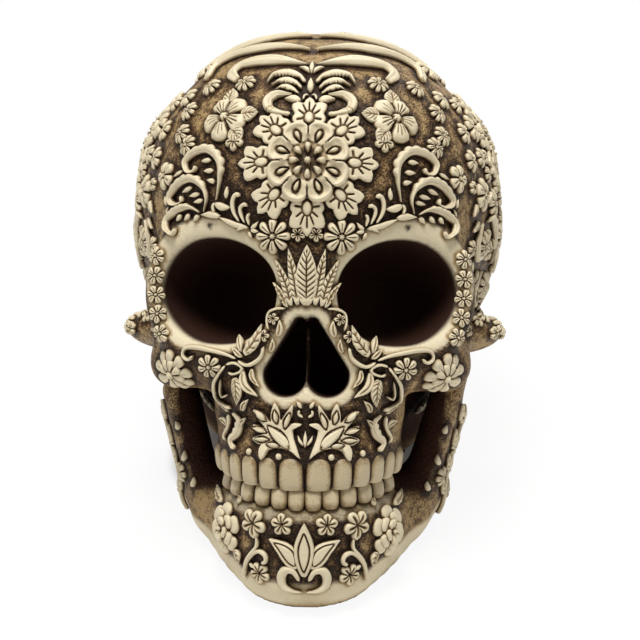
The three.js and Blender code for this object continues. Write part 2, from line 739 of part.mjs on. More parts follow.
// A flower: petals round a button, with clefts between the petals
function blossom({ bone: under, lay }, { radius, petals, cleft = 0.24, height = reliefHeight }) {
  const large = radius > 12;
  const columns = petals * (large ? 4 : 3);
  const petalShape = (j) => Math.abs(Math.cos(((j / columns) * petals + 0.5) * Math.PI));
  const spot = (share, j, lift) => {
    const angle = (j / columns) * 2 * Math.PI;
    const out = share * radius * (1 - cleft * (1 - petalShape(j) ** 0.6));
    return lay(out * Math.cos(angle), out * Math.sin(angle), lift);
  };
  const ring = (share, lift) => Array.from({ length: columns }, (_, j) => spot(share, j, lift(j)));
  const button = [0.2, () => 0.95 * height];
  const groove = [0.3, (j) => 0.6 * height * (0.72 + 0.28 * petalShape(j) ** 0.5)];
  const crest = [0.68, (j) => 0.95 * height * (0.72 + 0.28 * petalShape(j) ** 0.5)];
  const edge = [1, (j) => 0.62 * height * (0.72 + 0.28 * petalShape(j) ** 0.5)];
  const rings = large ? [button, groove, crest, edge] : [groove, crest, edge];
  return seated(under, (seat) => {
    const top = rings.map(([share, lift]) => ring(share, (j) => lift(j) + seat));
    const bottom = (radius > 6 ? [0.5, 1] : [1]).map((share) => ring(share, () => seat));
    return slab(top, bottom, [lay(0, 0, height + seat), lay(0, 0, seat)]);
  });
}

// A small flower cast in one with the bone
function castFlower({ lay }) {
  const columns = 2 * castPetals;
  const ring = (share, lift) =>
    Array.from({ length: columns }, (_, j) => {
      const angle = (j / columns) * 2 * Math.PI;
      const out = share * castFlowerRadius * (j % 2 ? 1 - castCleft : 1);
      return lay(out * Math.cos(angle), out * Math.sin(angle), lift);
    });
  const top = [ring(0.55, reliefHeight), ring(1, 0.7 * reliefHeight)];
  return slab(top, [ring(1, -castDepth)], [lay(0, 0, 0.7 * reliefHeight), lay(0, 0, -castDepth)]);
}

// A flower that lies on a wreath of leaves
function wreath({ bone: under, lay }, radius) {
  const columns = 4 * wreathLeaves;
  const leafAt = (j) => Math.abs(Math.cos((j / columns) * wreathLeaves * Math.PI)) ** 0.7;
  const spot = (out, j, lift) => {
    const angle = (j / columns) * 2 * Math.PI;
    return lay(out * Math.cos(angle), out * Math.sin(angle), lift);
  };
  const ring = (reach, lift) => Array.from({ length: columns }, (_, j) => spot(reach(j), j, lift));
  const tip = (j) => radius * (1 + (wreathReach - 1) * (0.35 + 0.65 * leafAt(j)));
  return seated(under, (seat) => {
    const crest = ring(() => radius * 0.6, 1.35 * reliefHeight + seat);
    const edge = ring(() => radius, reliefHeight + seat);
    const bottom = [ring(() => radius, seat), ring(tip, seat)];
    const top = [crest, edge, ring(tip, 0.7 * reliefHeight + seat)];
    return slab(top, bottom, [lay(0, 0, 1.2 * reliefHeight + seat), lay(0, 0, seat)]);
  });
}

// A leaf, plume or scroll: a strip whose bend tightens along its length
function frond({ bone: under, lay }, shape) {
  const { at, heading, length, turn = 0, curl = 1, width, taper = leafShape, steps = 4 } = shape;
  const start = THREE.MathUtils.degToRad(heading);
  const bend = THREE.MathUtils.degToRad(turn);
  const strides = 8 * steps;
  const stride = length / strides;
  const stations = [];
  let [u, v] = at;
  for (let i = 0; i <= strides; i++) {
    const share = i / strides;
    const angle = start + bend * share ** curl;
    if (i % 8 === 0) stations.push([u, v, angle, (width / 2) * taper(share)]);
    u += stride * Math.cos(angle);
    v += stride * Math.sin(angle);
  }
  const across = ([x, y, angle, half], side, lift) =>
    lay(x - side * half * Math.sin(angle), y + side * half * Math.cos(angle), lift);
  return seated(under, (seat) => strip(stations, across, seat));
}

// A ridged strip over stations: across(station, side, lift) gives its points
function strip(stations, across, seat) {
  const row = (station, lifts) => lifts.map((lift, i) => across(station, i - 1, lift + seat));
  const roof = [reliefHeight / 2, reliefHeight, reliefHeight / 2];
  const top = stations.map((station) => row(station, roof));
  return slab(top, stations.map((station) => row(station, [0, 0, 0])), null);
}

// A strip that runs over the bone through a few points; cast ones are sunk, to be one with the bone
function trail(bone, points, { width, taper = scrollShape, steps = 8, cast = false }) {
  const route = new THREE.CatmullRomCurve3(points);
  const stations = Array.from({ length: steps + 1 }, (_, i) => {
    const centre = route.getPointAt(i / steps);
    const normal = slopeOf(bone.field, centre).normalize();
    const aside = normal.clone().cross(route.getTangentAt(i / steps)).normalize();
    return { centre, normal, aside, half: (width / 2) * taper(i / steps) };
  });
  const across = ({ centre, normal, aside, half }, side, lift) => {
    const over = centre.clone().addScaledVector(aside, side * half).addScaledVector(normal, dropHeight);
    const rest = meet(bone, over, normal.clone().negate());
    return rest.clone().addScaledVector(slopeOf(bone.field, rest).normalize(), lift);
  };
  const draw = (seat) => strip(stations, across, seat);
  return cast ? draw(-castDepth) : seated(bone, draw);
}

const leafShape = (share) => 0.12 + 0.88 * Math.sin(Math.PI * (0.06 + 0.94 * share ** 0.8)) ** 0.8;
const scrollShape = (share) => 0.45 + 0.55 * Math.sin(Math.PI * share) ** 0.7;
const plumeShape = (share) => 0.12 + 0.88 * Math.sin(Math.PI * (0.16 + 0.82 * share)) ** 0.9;

function mirrored(geometry) {
  const flipped = geometry.clone().scale(-1, 1, 1);
  const index = [...flipped.index.array];
  for (let i = 0; i < index.length; i += 3) {
    [index[i + 1], index[i + 2]] = [index[i + 2], index[i + 1]];
  }
  return flipped.setIndex(index);
}

const head = new THREE.Group();
head.rotation.x = -lean;
const skull = new THREE.Group().add(head);

function addPiece(name, geometry, material) {
  const mesh = new THREE.Mesh(geometry, material.clone());
  mesh.name = name;
  head.add(mesh);
}

function addPair(name, geometry, material) {
  addPiece(`${name}_right`, geometry, material);
  addPiece(`${name}_left`, mirrored(geometry), material);
}

const meshed = (field, solid) => ({ field, solid, mesh: new THREE.Mesh(toGeometry(solid)) });
const bareCranium = meshed(craniumField, craniumSolid());
const vines = vineCurls.map(([start, reach, rise]) => {
  const route = curlRoute(onSide(start), reach, rise);
  const points = route.map(([y, z]) => fromSide(bareCranium, y, z).centre);
  return trail(bareCranium, points, { width: scrollWidth, cast: true });
});
const garden = castFlowerPlaces.map((place) => castFlower(fromSide(bareCranium, ...onSide(place))));
const cast = [...vines, ...garden].flatMap((motif) => [motif, mirrored(motif)]);
const castCranium = cast.map(toSolid).reduce((whole, motif) => whole.add(motif), bareCranium.solid);
const cranium = meshed(craniumField, castCranium.simplify(meshTolerance));
const jaw = meshed(jawField, jawSolid());

function addBones() {
  addPiece('cranium', cranium.mesh.geometry, bone);
  addPiece('jaw', jaw.mesh.geometry, bone);
  const upperRow = toothRow(upperToothWidths, upperGumDrop, biteDrop, 0);
  const lowerRow = toothRow(lowerToothWidths, lowerGumDrop, biteDrop + biteGap, overbite);
  addPiece('upper_teeth', toGeometry(upperRow), enamel);
  addPiece('lower_teeth', toGeometry(lowerRow), enamel);
}

function addBase() {
  const radius = pourHoleDiameter / 2 - glueGap;
  const plug = new THREE.CylinderGeometry(radius, radius, plugThickness, 28);
  const plugMiddle = footMiddle.clone().addScaledVector(tableNormal, plugThickness / 2 + glueGap);
  addPiece('base_plug', upright(plug, plugMiddle), bone);
  const pad = (diameter, over) => {
    const middle = onTable(over).addScaledVector(tableNormal, -padThickness / 2 - glueGap / 4);
    return upright(new THREE.CylinderGeometry(diameter / 2, diameter / 2, padThickness, 24), middle);
  };
  addPair('front_pad', pad(frontPadDiameter, new THREE.Vector3(...alongJaw(frontPadPlace))), felt);
  const rear = footMiddle.clone().setX(rearPadSpacing / 2);
  addPair('rear_pad', pad(rearPadDiameter, rear), felt);
}

// Several leaves that spread from one point
function fan(ground, at, leaves) {
  const leafOf = ([heading, length, width]) => frond(ground, { at, heading, length, width, steps: 3 });
  return toGeometry(leaves.map(leafOf).map(toSolid).reduce((whole, leaf) => whole.add(leaf)));
}

function addFlower(name, ground, radius, petals = 6) {
  addPair(name, blossom(ground, { radius, petals }), relief);
}

function addForehead() {
  const middle = fromFront(cranium, 0, rosetteRise);
  const rosette = { radius: rosetteRadius, petals: 8, height: reliefHeight * 1.5 };
  addPiece('forehead_rosette', blossom(middle, rosette), relief);
  for (let i = 0; i < rosetteLeaves; i++) {
    const heading = (360 * i) / rosetteLeaves;
    const angle = THREE.MathUtils.degToRad(heading);
    const out = rosetteRadius + 2 * glueGap;
    const at = [out * Math.cos(angle), out * Math.sin(angle)];
    const leaf = frond(middle, { at, heading, length: leafLength, width: leafWidth });
    addPiece(`forehead_leaf_${i + 1}`, leaf, relief);
  }
  addFlower('temple_flower', fromFront(cranium, 32.5, 62), templeFlowerRadius);
}

function addCrown() {
  const crest = [[90, 5.5, 4.6], [32, 14, 5.4], [148, 14, 5.4]];
  const crestGround = fromFront(cranium, 0, crestRise);
  addPiece('crown_crest', fan(crestGround, [0, -3.5], crest), relief);
  const crestAt = crestGround.centre.y;
  const above = plumeRoutes.map((route) => route.map(([x, y]) => fromTop(cranium, x, crestAt + y).centre));
  above.forEach((points, i) => {
    const plume = trail(cranium, points, { width: plumeWidth, taper: plumeShape });
    addPair(`crown_plume_${i + 1}`, plume, relief);
  });
}

function addBrow() {
  const curled = { turn: -310, curl: 2.4, width: scrollWidth, taper: scrollShape, steps: 10 };
  const tall = { ...curled, at: [-5, -9], heading: 95, length: 33 };
  const middle = { ...curled, at: [-6, -7], heading: 100, length: 25 };
  const low = { ...curled, at: [-7, -2], heading: 60, length: 19 };
  addPair('brow_scroll_1', frond(fromFront(cranium, 37.5, 42), tall), relief);
  addPair('brow_scroll_2', frond(fromFront(cranium, 44, 34), middle), relief);
  addPair('brow_scroll_3', frond(fromFront(cranium, 47, 24.5), low), relief);
  addFlower('brow_flower', fromFront(cranium, 12.5, 18.5), browFlowerRadius, 8);
  const sprig = [[168, 10, 4.6], [212, 8, 4]];
  addPair('brow_sprig', fan(fromFront(cranium, 26, 25.5), [4, 0], sprig), relief);
  const bridge = [[90, 19, 5.4], [62, 14, 5], [118, 14, 5]];
  addPiece('bridge_leaves', fan(fromFront(cranium, 0, 2), [0, -7], bridge), relief);
}

function addCheeks() {
  addFlower('cheek_flower', fromFront(cranium, 47, -29.5), cheekFlowerRadius);
  const spray = [[72, 13, 5], [40, 15, 5], [8, 14, 5]];
  addPair('lip_leaves', fan(fromFront(cranium, 11, -49), [-7, -6], spray), relief);
  const drop = { at: [0, 3.5], heading: 270, length: 7, width: 4.6 };
  addPiece('lip_drop', frond(fromFront(cranium, 0, -49), drop), relief);
  addFlower('arch_flower', fromSide(cranium, 40, -archDrop), archFlowerRadius);
  const flank = fromSide(cranium, ...onSide(sideFlowerPlace));
  addPair('side_flower', wreath(flank, sideFlowerRadius), relief);
}

function addBack() {
  addPiece('back_rosette', wreath(fromBack(cranium, 0, backRosetteRise), backRosetteRadius), relief);
  backCurls.forEach(([start, reach, rise], i) => {
    const route = curlRoute(onBack(start), reach, rise);
    const points = route.map(([x, z]) => fromBack(cranium, x, z).centre);
    addPair(`back_scroll_${i + 1}`, trail(cranium, points, { width: scrollWidth }), relief);
  });
}

function addJawRelief() {
  const lily = [[90, 14, 6], [48, 12, 5], [132, 12, 5]];
  addPiece('chin_lily', fan(fromFront(jaw, 0, -96), [0, -6], lily), relief);
  addFlower('chin_flower', fromFront(jaw, 18, -88), chinFlowerRadius);
  const rose = { radius: jawRoseRadius, petals: 5, cleft: 0.15, height: reliefHeight * 1.3 };
  addPair('jaw_rose', blossom(fromSide(jaw, 18, -90), rose), relief);
  const column = { at: [-2, -12], heading: 84, length: 24, width: 8, steps: 5 };
  addPair('ramus_leaf', frond(fromSide(jaw, 46, -62), column), relief);
}

// A thin plate from the back of the nose opening, standing clear of its roof and its spine
function addSeptum() {
  const [top, bottom] = [-noseTop - 3, spineTop + 2 * glueGap];
  const depth = noseDepth * 0.6;
  const plate = new THREE.BoxGeometry(septumThickness, depth, top - bottom);
  const back = noseDepth - noseForward - glueGap;
  addPiece('nasal_septum', plate.translate(0, back - depth / 2, (top + bottom) / 2), bone);
}

addBones();
addBase();
addSeptum();
addForehead();
addCrown();
addBrow();
addCheeks();
addBack();
addJawRelief();

const box = new THREE.Box3().setFromObject(skull, true);
skull.position.set(-(box.min.x + box.max.x) / 2, -(box.min.y + box.max.y) / 2, -box.min.z);

export default skull;
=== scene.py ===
"""Looks of a cast resin skull that is covered in raised flowers, leaves and scrolls.

The head is drawn in a face frame, in millimetres: X to the viewer's right, Y towards the back of the
head and Z up the face, with the origin midway between the eye sockets on their outer rims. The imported
part stands in metres, with the head leaning back.
"""

import logging
import math
from dataclasses import dataclass, field
from enum import Enum
from itertools import product
from typing import Callable, Iterable, Sequence

import bpy
import numpy as np
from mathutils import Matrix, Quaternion, Vector, kdtree


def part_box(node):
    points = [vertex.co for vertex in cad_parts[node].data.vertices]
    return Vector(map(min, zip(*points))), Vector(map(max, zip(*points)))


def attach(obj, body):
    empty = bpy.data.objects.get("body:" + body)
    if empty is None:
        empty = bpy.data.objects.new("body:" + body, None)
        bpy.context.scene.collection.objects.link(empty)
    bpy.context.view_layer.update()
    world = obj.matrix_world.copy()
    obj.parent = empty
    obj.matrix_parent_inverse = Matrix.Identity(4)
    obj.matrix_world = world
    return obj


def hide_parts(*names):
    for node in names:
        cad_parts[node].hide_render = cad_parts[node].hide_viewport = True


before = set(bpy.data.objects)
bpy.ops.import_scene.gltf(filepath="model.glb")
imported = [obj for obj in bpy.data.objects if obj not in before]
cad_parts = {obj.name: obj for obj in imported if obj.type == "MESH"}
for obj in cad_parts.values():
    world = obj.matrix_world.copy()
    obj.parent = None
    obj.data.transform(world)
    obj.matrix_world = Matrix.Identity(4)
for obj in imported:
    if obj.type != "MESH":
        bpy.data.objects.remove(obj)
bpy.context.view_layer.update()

log = logging.getLogger("skull")
logging.basicConfig(level=logging.INFO, format="%(name)s: %(message)s")

Array = np.ndarray
Pair = tuple[float, float]
Triple = tuple[float, float, float]
Lobe = tuple[Sequence[float], Sequence[float]]

BODY = "root"
RIGHT, LEFT = "_right", "_left"
MIRROR = np.array([-1.0, 1.0, 1.0])
LEAN = math.radians(27)
TABLE_CLEARANCE = 1.6
BITE_SLOPE = 0.2
BITE_FORWARD = 17.0
SKIRT = 0.9
THINNEST = 0.12
CUT_SHARE = 0.42
LEAST_SHARE = 0.12
SECTION_POWER = 2.6
VIEW_DISTANCE = 720.0
VIEW_DROP = 10.8
VIEW_AZIMUTH = math.radians(2.4)
VIEW_ASIDE = 3.96
VIEW_ROLL = -0.008
VIEW_LENS = 112.0
SENSOR_WIDTH = 36.0


# Shaping

def smooth(low: float, high: float, value: Array) -> Array:
    """Rises smoothly from 0 at low to 1 at high."""
    t = np.clip((value - low) / (high - low), 0, 1)
    return t * t * (3 - 2 * t)


def blend(a: Array, b: Array, reach: float) -> Array:
    """Joins two distance fields with a fillet."""
    shared = np.maximum(reach - np.abs(a - b), 0) / reach
    return np.minimum(a, b) - shared * shared * reach / 4


def carve(a: Array, b: Array, reach: float) -> Array:
    """Takes the mass b out of the mass a, with a rounded edge of that reach."""
    return -blend(-a, b, reach)


def ellipsoid(p: Array, centre: Sequence[float], radii: Sequence[float], power: float = 2) -> Array:
    """Distance to an ellipsoid, or to a squarer one where the power is above 2.

    Args:
        p: points, one per row.
        centre: its middle.
        radii: its half sizes.
        power: 2 for an ellipsoid.

    Returns:
        About the distance, negative inside.
    """
    q = np.abs(p - np.asarray(centre)) / np.asarray(radii)
    size = np.maximum((q**power).sum(1), 1e-6) ** (1 / power)
    slope = np.sqrt(((q ** (power - 1) / np.asarray(radii)) ** 2).sum(1)) * size ** (1 - power)
    return (size - 1) / np.maximum(slope, 1e-4)


def limb(p: Array, start: Sequence[float], end: Sequence[float]) -> Array:
    """Distance to a round limb between two balls, each (x, y, z, radius)."""
    a, b = np.asarray(start[:3]), np.asarray(end[:3])
    t = np.clip((p - a) @ (b - a) / ((b - a) @ (b - a)), 0, 1)
    return np.linalg.norm(p - a - t[:, None] * (b - a), axis=1) - start[3] - t * (end[3] - start[3])


def chain(p: Array, joints: Sequence[Sequence[float]], reach: float) -> Array:
    """Distance to a row of limbs that are blended into each other."""
    whole = limb(p, joints[0], joints[1])
    for start, end in zip(joints[1:], joints[2:]):
        whole = blend(whole, limb(p, start, end), reach)
    return whole


def unit(vectors: Array) -> Array:
    """Scales each row to length 1."""
    return vectors / np.maximum(np.linalg.norm(vectors, axis=-1, keepdims=True), 1e-9)


def folded(p: Array) -> Array:
    """Points brought to the right side of the head."""
    return np.stack([np.abs(p[:, 0]), p[:, 1], p[:, 2]], 1)


def bite_rise(y: "Array | float") -> "Array | float":
    """How far the bite has risen at a distance back from the front teeth."""
    return BITE_SLOPE * (y + BITE_FORWARD)


def heading(degrees: float, reach: float = 1.0) -> Pair:
    """A step of some reach in a direction on a drawing."""
    return reach * math.cos(math.radians(degrees)), reach * math.sin(math.radians(degrees))


def point_tree(points: Array) -> kdtree.KDTree:
    """A tree of points that finds the nearest one."""
    tree = kdtree.KDTree(len(points))
    for n, p in enumerate(points):
        tree.insert(p, n)
    tree.balance()
    return tree


class HeadFrame:
    """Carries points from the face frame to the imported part's place."""

    SEPTUM_MIDDLE = np.array([0.0, 0.6, -20.85])

    def __init__(self) -> None:
        """Finds the head's place from the plate in the nose, whose middle is known in the face frame."""
        c, s = math.cos(LEAN), math.sin(LEAN)
        self.turn = np.array([[1, 0, 0], [0, c, s], [0, -s, c]])
        self.shift = 1000 * self._middle("nasal_septum") - self.turn @ self.SEPTUM_MIDDLE
        self.plug_middle = self.to_face(self._middle("base_plug"))

    @staticmethod
    def _middle(node: str) -> Array:
        """The middle of a CAD node's box, in metres."""
        low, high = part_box(node)
        return (np.array(low) + np.array(high)) / 2

    def to_world(self, p: Array) -> Array:
        """Face frame millimetres to the part's metres."""
        return (p @ self.turn.T + self.shift) / 1000

    def to_face(self, p: Array) -> Array:
        """The part's metres to face frame millimetres."""
        return (p * 1000 - self.shift) @ self.turn

    @property
    def table_normal(self) -> Array:
        """The way up from the table, in the face frame."""
        return self.turn[2]

    def above_table(self, p: Array) -> Array:
        """Height of face frame points over the surface that the part stands on, in millimetres."""
        return p @ self.turn[2] + self.shift[2]


HEAD = HeadFrame()


# Bones

class Shape:
    """A bone as a distance field: bone() is what ornament lies on and skin() is what is seen."""

    step: float
    half_width: float
    front_to_back: Pair
    bottom_to_top: Pair

    def bone(self, p: Array) -> Array:
        """Distance to the plain bone."""
        raise NotImplementedError

    def skin(self, p: Array) -> Array:
        """Distance to the finished bone."""
        raise NotImplementedError

    def slope(self, p: Array, of: Callable[[Array], Array]) -> Array:
        """How a field rises at each point."""
        reach = 0.06
        sides = [of(p + d) - of(p - d) for d in np.eye(3) * reach]
        return np.stack(sides, 1) / (2 * reach)

    def settle(self, p: Array, of: Callable[[Array], Array], steps: int = 4) -> Array:
        """Moves points onto the surface of a field.

        Args:
            p: points near the surface.
            of: the field.
            steps: rounds of correction.

        Returns:
            The points on the surface.
        """
        for _ in range(steps):
            slope = self.slope(p, of)
            p = p - slope * (of(p) / np.maximum((slope**2).sum(1), 0.2))[:, None]
        return p

    def meet(self, start: Array, way: Array) -> Array:
        """Follows rays until they touch the plain bone."""
        p = start.copy()
        for _ in range(48):
            p = p + way * np.clip(self.bone(p), -3, 40)[:, None] * 0.92
        return p

    def net(self) -> tuple[Array, Array]:
        """Nets the finished bone in quads.

        Returns:
            Points in the face frame, and quads of their numbers, facing out.
        """
        half = int(math.ceil(self.half_width / self.step)) + 1
        xs = np.arange(-half, half + 1) * self.step
        ends = self.front_to_back, self.bottom_to_top
        ys, zs = (np.arange(low, high + self.step, self.step) for low, high in ends)
        right = [self.skin(self._plane(x, ys, zs)).reshape(len(ys), len(zs)) for x in xs[half:]]
        value = np.stack(right[:0:-1] + right).astype(np.float32)
        inside = value < 0
        span = [slice(0, -1), slice(1, None)]
        corner = np.stack([inside[span[a], span[b], span[c]] for a, b, c in product((0, 1), repeat=3)])
        filled = corner.sum(0)
        active = (filled > 0) & (filled < 8)
        number = np.full(active.shape, -1, np.int64)
        number[active] = np.arange(active.sum())
        i, j, k = np.nonzero(active)
        points = self._crossings(value, xs, ys, zs, i, j, k)
        return self.settle(points, self.skin, 2), self._quads(inside, number)

    @staticmethod
    def _plane(x: float, ys: Array, zs: Array) -> Array:
        """Grid points at one distance across."""
        y, z = np.meshgrid(ys, zs, indexing="ij")
        return np.stack([np.full(y.size, x), y.ravel(), z.ravel()], 1)

    @staticmethod
    def _crossings(value: Array, xs: Array, ys: Array, zs: Array, i: Array, j: Array, k: Array) -> Array:
        """Middle of the places where the surface crosses each cell's edges."""
        spots = list(product((0, 1), repeat=3))
        total, count = np.zeros((len(i), 3)), np.zeros(len(i))
        for a in spots:
            for axis in range(3):
                if a[axis]:
                    continue
                b = tuple(1 if n == axis else a[n] for n in range(3))
                va = value[i + a[0], j + a[1], k + a[2]].astype(float)
                vb = value[i + b[0], j + b[1], k + b[2]].astype(float)
                hit = (va < 0) != (vb < 0)
                t = np.where(hit, va / np.where(hit, va - vb, 1), 0)
                pa = np.stack([xs[i + a[0]], ys[j + a[1]], zs[k + a[2]]], 1)
                pb = np.stack([xs[i + b[0]], ys[j + b[1]], zs[k + b[2]]], 1)
                total += np.where(hit[:, None], pa + t[:, None] * (pb - pa), 0)
                count += hit
        return total / count[:, None]

    @staticmethod
    def _quads(inside: Array, number: Array) -> Array:
        """One quad round each grid edge that the surface crosses."""
        quads = []
        for axis in range(3):
            order = [axis, (axis + 1) % 3, (axis + 2) % 3]
            solid = inside.transpose(order)
            cell = number.transpose(order)
            here, there = solid[:-1, 1:-1, 1:-1], solid[1:, 1:-1, 1:-1]
            i, j, k = np.nonzero(here != there)
            ring = [cell[i, j, k], cell[i, j + 1, k], cell[i, j + 1, k + 1], cell[i, j, k + 1]]
            ring = np.stack(ring, 1)
            out = here[i, j, k][:, None]
            quads.append(np.where(out, ring, ring[:, ::-1]))
        return np.concatenate(quads)


@dataclass
class CraniumShape(Shape):
    """The braincase and the upper face."""

    step: float = 1.15
    half_width: float = 76.0
    front_to_back: Pair = (-32.0, 156.0)
    bottom_to_top: Pair = (-78.0, 104.0)
    braincase: Lobe = ((0, 66, 30), (70.5, 84, 71))
    forehead: Lobe = ((0, 28, 38), (53, 50, 48))
    floor: Lobe = ((0, 58, -16), (49, 49, 46))
    foot: Lobe = ((0, 98, -22), (58, 46, 52))
    midface: Lobe = ((0, 20, 0), (52, 32, 26))
    temple: Lobe = ((40, 18, -2), (15.5, 20, 26))
    arch: Lobe = ((48, 40, -15), (23, 23, 8.5))
    maxilla: Lobe = ((0, 15, -42), (35, 31, 28))
    bridge: Lobe = ((0, -12, 6, 9), (0, -15, -11, 6.5))
    nose_wall: Lobe = ((8, -11, -4, 7), (18, -6, -35, 8))
    cheek: Lobe = ((33, 1, -26, 9.5), (49.5, 14, -27, 9.5))
    eye_half_spacing: float = 31.0
    eye_width: float = 46.0
    eye_height: float = 37.4
    eye_sink: float = 0.8
    eye_power: float = 2.05
    eye_depth: float = 33.0
    eye_forward: float = 6.0
    eye_turn: float = math.radians(20)
    eye_rim: float = 8.0
    rim_power: float = 2.3
    nose_top: float = 10.0
    nose_bottom: float = 38.0
    nose_width: float = 30.0
    nose_back: float = 10.0
    nose_tip_radius: float = 2.4
    gum_drop: float = 60.0
    gum_half: Sequence[float] = (34, 39, 15)
    gum_behind_teeth: float = 11.6
    pour_hole_radius: float = 17.4
    pour_hole_depth: float = 9.0

    def mass(self, p: Array) -> Array:
        """Distance to the braincase with its base."""
        dome = blend(ellipsoid(p, *self.braincase), ellipsoid(p, *self.forehead), 18)
        return blend(dome, blend(ellipsoid(p, *self.floor), ellipsoid(p, *self.foot), 14), 16)

    def in_eye(self, p: Array) -> Array:
        """Points as lateral, outward and upward from the middle of the right eye socket."""
        c, s = math.cos(self.eye_turn), math.sin(self.eye_turn)
        dx, dy = np.abs(p[:, 0]) - self.eye_half_spacing, p[:, 1] + self.eye_forward
        return np.stack([dx * c + dy * s, dx * s - dy * c, p[:, 2] + self.eye_sink], 1)

    def eye(self, p: Array) -> Array:
        """Distance to the eye sockets."""
        radii = (self.eye_width / 2, self.eye_depth, self.eye_height / 2)
        return ellipsoid(self.in_eye(p), (0, 0, 0), radii, self.eye_power)

    def rim(self, p: Array) -> Array:
        """Distance to the ring of bone round the eye sockets."""
        q = self.in_eye(p)
        half = ((self.eye_width + self.eye_rim) / 2, (self.eye_height + self.eye_rim) / 2)
        flat = np.stack([q[:, 0], np.zeros(len(q)), q[:, 2]], 1)
        across = ellipsoid(flat, (0, 0, 0), (half[0], half[0], half[1]), self.rim_power)
        return np.hypot(across, q[:, 1] + 1) - self.eye_rim / 2

    def nose(self, p: Array) -> Array:
        """Distance to the nose hollow, a pear of two lobes."""
        lobe, tip = self.nose_width / 4, self.nose_tip_radius
        flat = np.stack([np.abs(p[:, 0]), np.zeros(len(p)), p[:, 2]], 1)
        pear = limb(flat, (2.2, 0, -self.nose_top - tip, tip), (lobe, 0, lobe - self.nose_bottom, lobe))
        return np.maximum(pear, p[:, 1] - self.nose_back)

    def face(self, p: Array) -> Array:
        """Distance to the face under the forehead."""
        gum = ellipsoid(p, (0, 21, -self.gum_drop), self.gum_half)
        over = bite_rise(p[:, 1]) - p[:, 2] - self.gum_drop - self.gum_behind_teeth
        upper = np.maximum(blend(ellipsoid(p, *self.maxilla), gum, 8), over)
        orbits = blend(blend(ellipsoid(p, *self.midface), ellipsoid(p, *self.temple), 8), self.rim(p), 7)
        nose = blend(limb(p, *self.bridge), limb(p, *self.nose_wall), 6)
        cheek = blend(limb(p, *self.cheek), ellipsoid(p, *self.arch), 11)
        return blend(blend(blend(orbits, nose, 7), upper, 8), cheek, 9)

    def bone(self, p: Array) -> Array:
        """Distance to the head before the eyes and the nose are hollowed."""
        q = folded(p)
        return blend(self.mass(q), self.face(q), 10)

    def skin(self, p: Array) -> Array:
        """Distance to the finished head."""
        whole = carve(carve(self.bone(p), self.eye(p), 2.6), self.nose(p), 1.8)
        rise = HEAD.above_table(p)
        from_plug = p - HEAD.plug_middle
        aside = from_plug - np.outer(from_plug @ HEAD.table_normal, HEAD.table_normal)
        hole = np.maximum(np.linalg.norm(aside, axis=1) - self.pour_hole_radius, rise - self.pour_hole_depth)
        return np.maximum(np.maximum(whole, TABLE_CLEARANCE - rise), -hole)


@dataclass
class JawShape(Shape):
    """The lower jaw: its bow, its gum and the two rising branches."""

    cranium: CraniumShape
    step: float = 1.0
    half_width: float = 64.0
    front_to_back: Pair = (-24.0, 74.0)
    bottom_to_top: Pair = (-120.0, -14.0)
    chin_drop: float = 113.5
    edge: float = 7.25
    angle_out: float = 39.75
    angle_back: float = 54.0
    bow: float = 2.2
    gum_drop: float = 80.0
    gum_sink: float = 4.5
    gum_arch: Pair = (26.5, 38.0)
    gum_front: float = -8.0
    gum_radius: float = 7.0
    gum_behind_teeth: float = 6.0
    fullness: float = 0.6
    stations: int = 13
    boss_half: Sequence[float] = (20, 10, 11)
    branch_radius: float = 6.0
    head_clearance: float = 0.3

    def along(self, t: float) -> tuple[float, float, float]:
        """A point on the middle of the lower edge, from the chin at 0 to the jaw angle at 1."""
        back = self.angle_back * t**self.bow
        return self.angle_out * t, back - 1, self.edge - self.chin_drop + back * math.tan(LEAN)

    def gum_along(self, t: float) -> tuple[float, float, float]:
        """A point on the middle of the gum, from the front teeth at 0 to the back teeth at 1."""
        turn = t * math.pi / 2.1
        y = self.gum_arch[1] * (1 - math.cos(turn)) + self.gum_front
        return self.gum_arch[0] * math.sin(turn), y, bite_rise(y) - self.gum_sink - self.gum_drop

    def branch(self, q: Array) -> Array:
        """Distance to the rising branch: two edges with a web between them."""
        out, back, high = self.along(1)
        wide = self.branch_radius
        rear = limb(q, (out + 3, back, high + 4, wide), (out + 14, back + 4, -30, wide))
        front = limb(q, (out - 2, back - 20, high - 3, wide), (out + 11, back - 20, -38, wide))
        web = limb(q, (out + 2, back - 10, high + 4, wide), (out + 11, back - 8, -44, wide))
        return blend(blend(rear, front, 6), web, 10)

    def bone(self, p: Array) -> Array:
        """Distance to the whole jaw."""
        q = folded(p)
        stations = np.linspace(0, 1, self.stations)
        edge = [(*self.along(t), self.edge + self.fullness) for t in stations]
        gum = [(*self.gum_along(t), self.gum_radius + self.fullness) for t in stations]
        flank = [tuple((np.array(a) + np.array(b)) / 2) for a, b in zip(edge, gum)]
        low, high, side = (chain(q, joints, 0.8) for joints in (edge, gum, flank))
        boss = ellipsoid(q, (0, 3, self.edge + 5 - self.chin_drop), self.boss_half)
        body = blend(blend(blend(low, high, 14), side, 8), boss, 8)
        over = q[:, 2] + self.gum_drop - bite_rise(q[:, 1]) - self.gum_behind_teeth
        return blend(np.maximum(body, over), self.branch(q), 10)

    def skin(self, p: Array) -> Array:
        """Distance to the jaw, cut where the head and the table meet it."""
        clear = np.maximum(self.bone(p), self.head_clearance - self.cranium.bone(p))
        return np.maximum(clear, TABLE_CLEARANCE - HEAD.above_table(p))


# Drawing

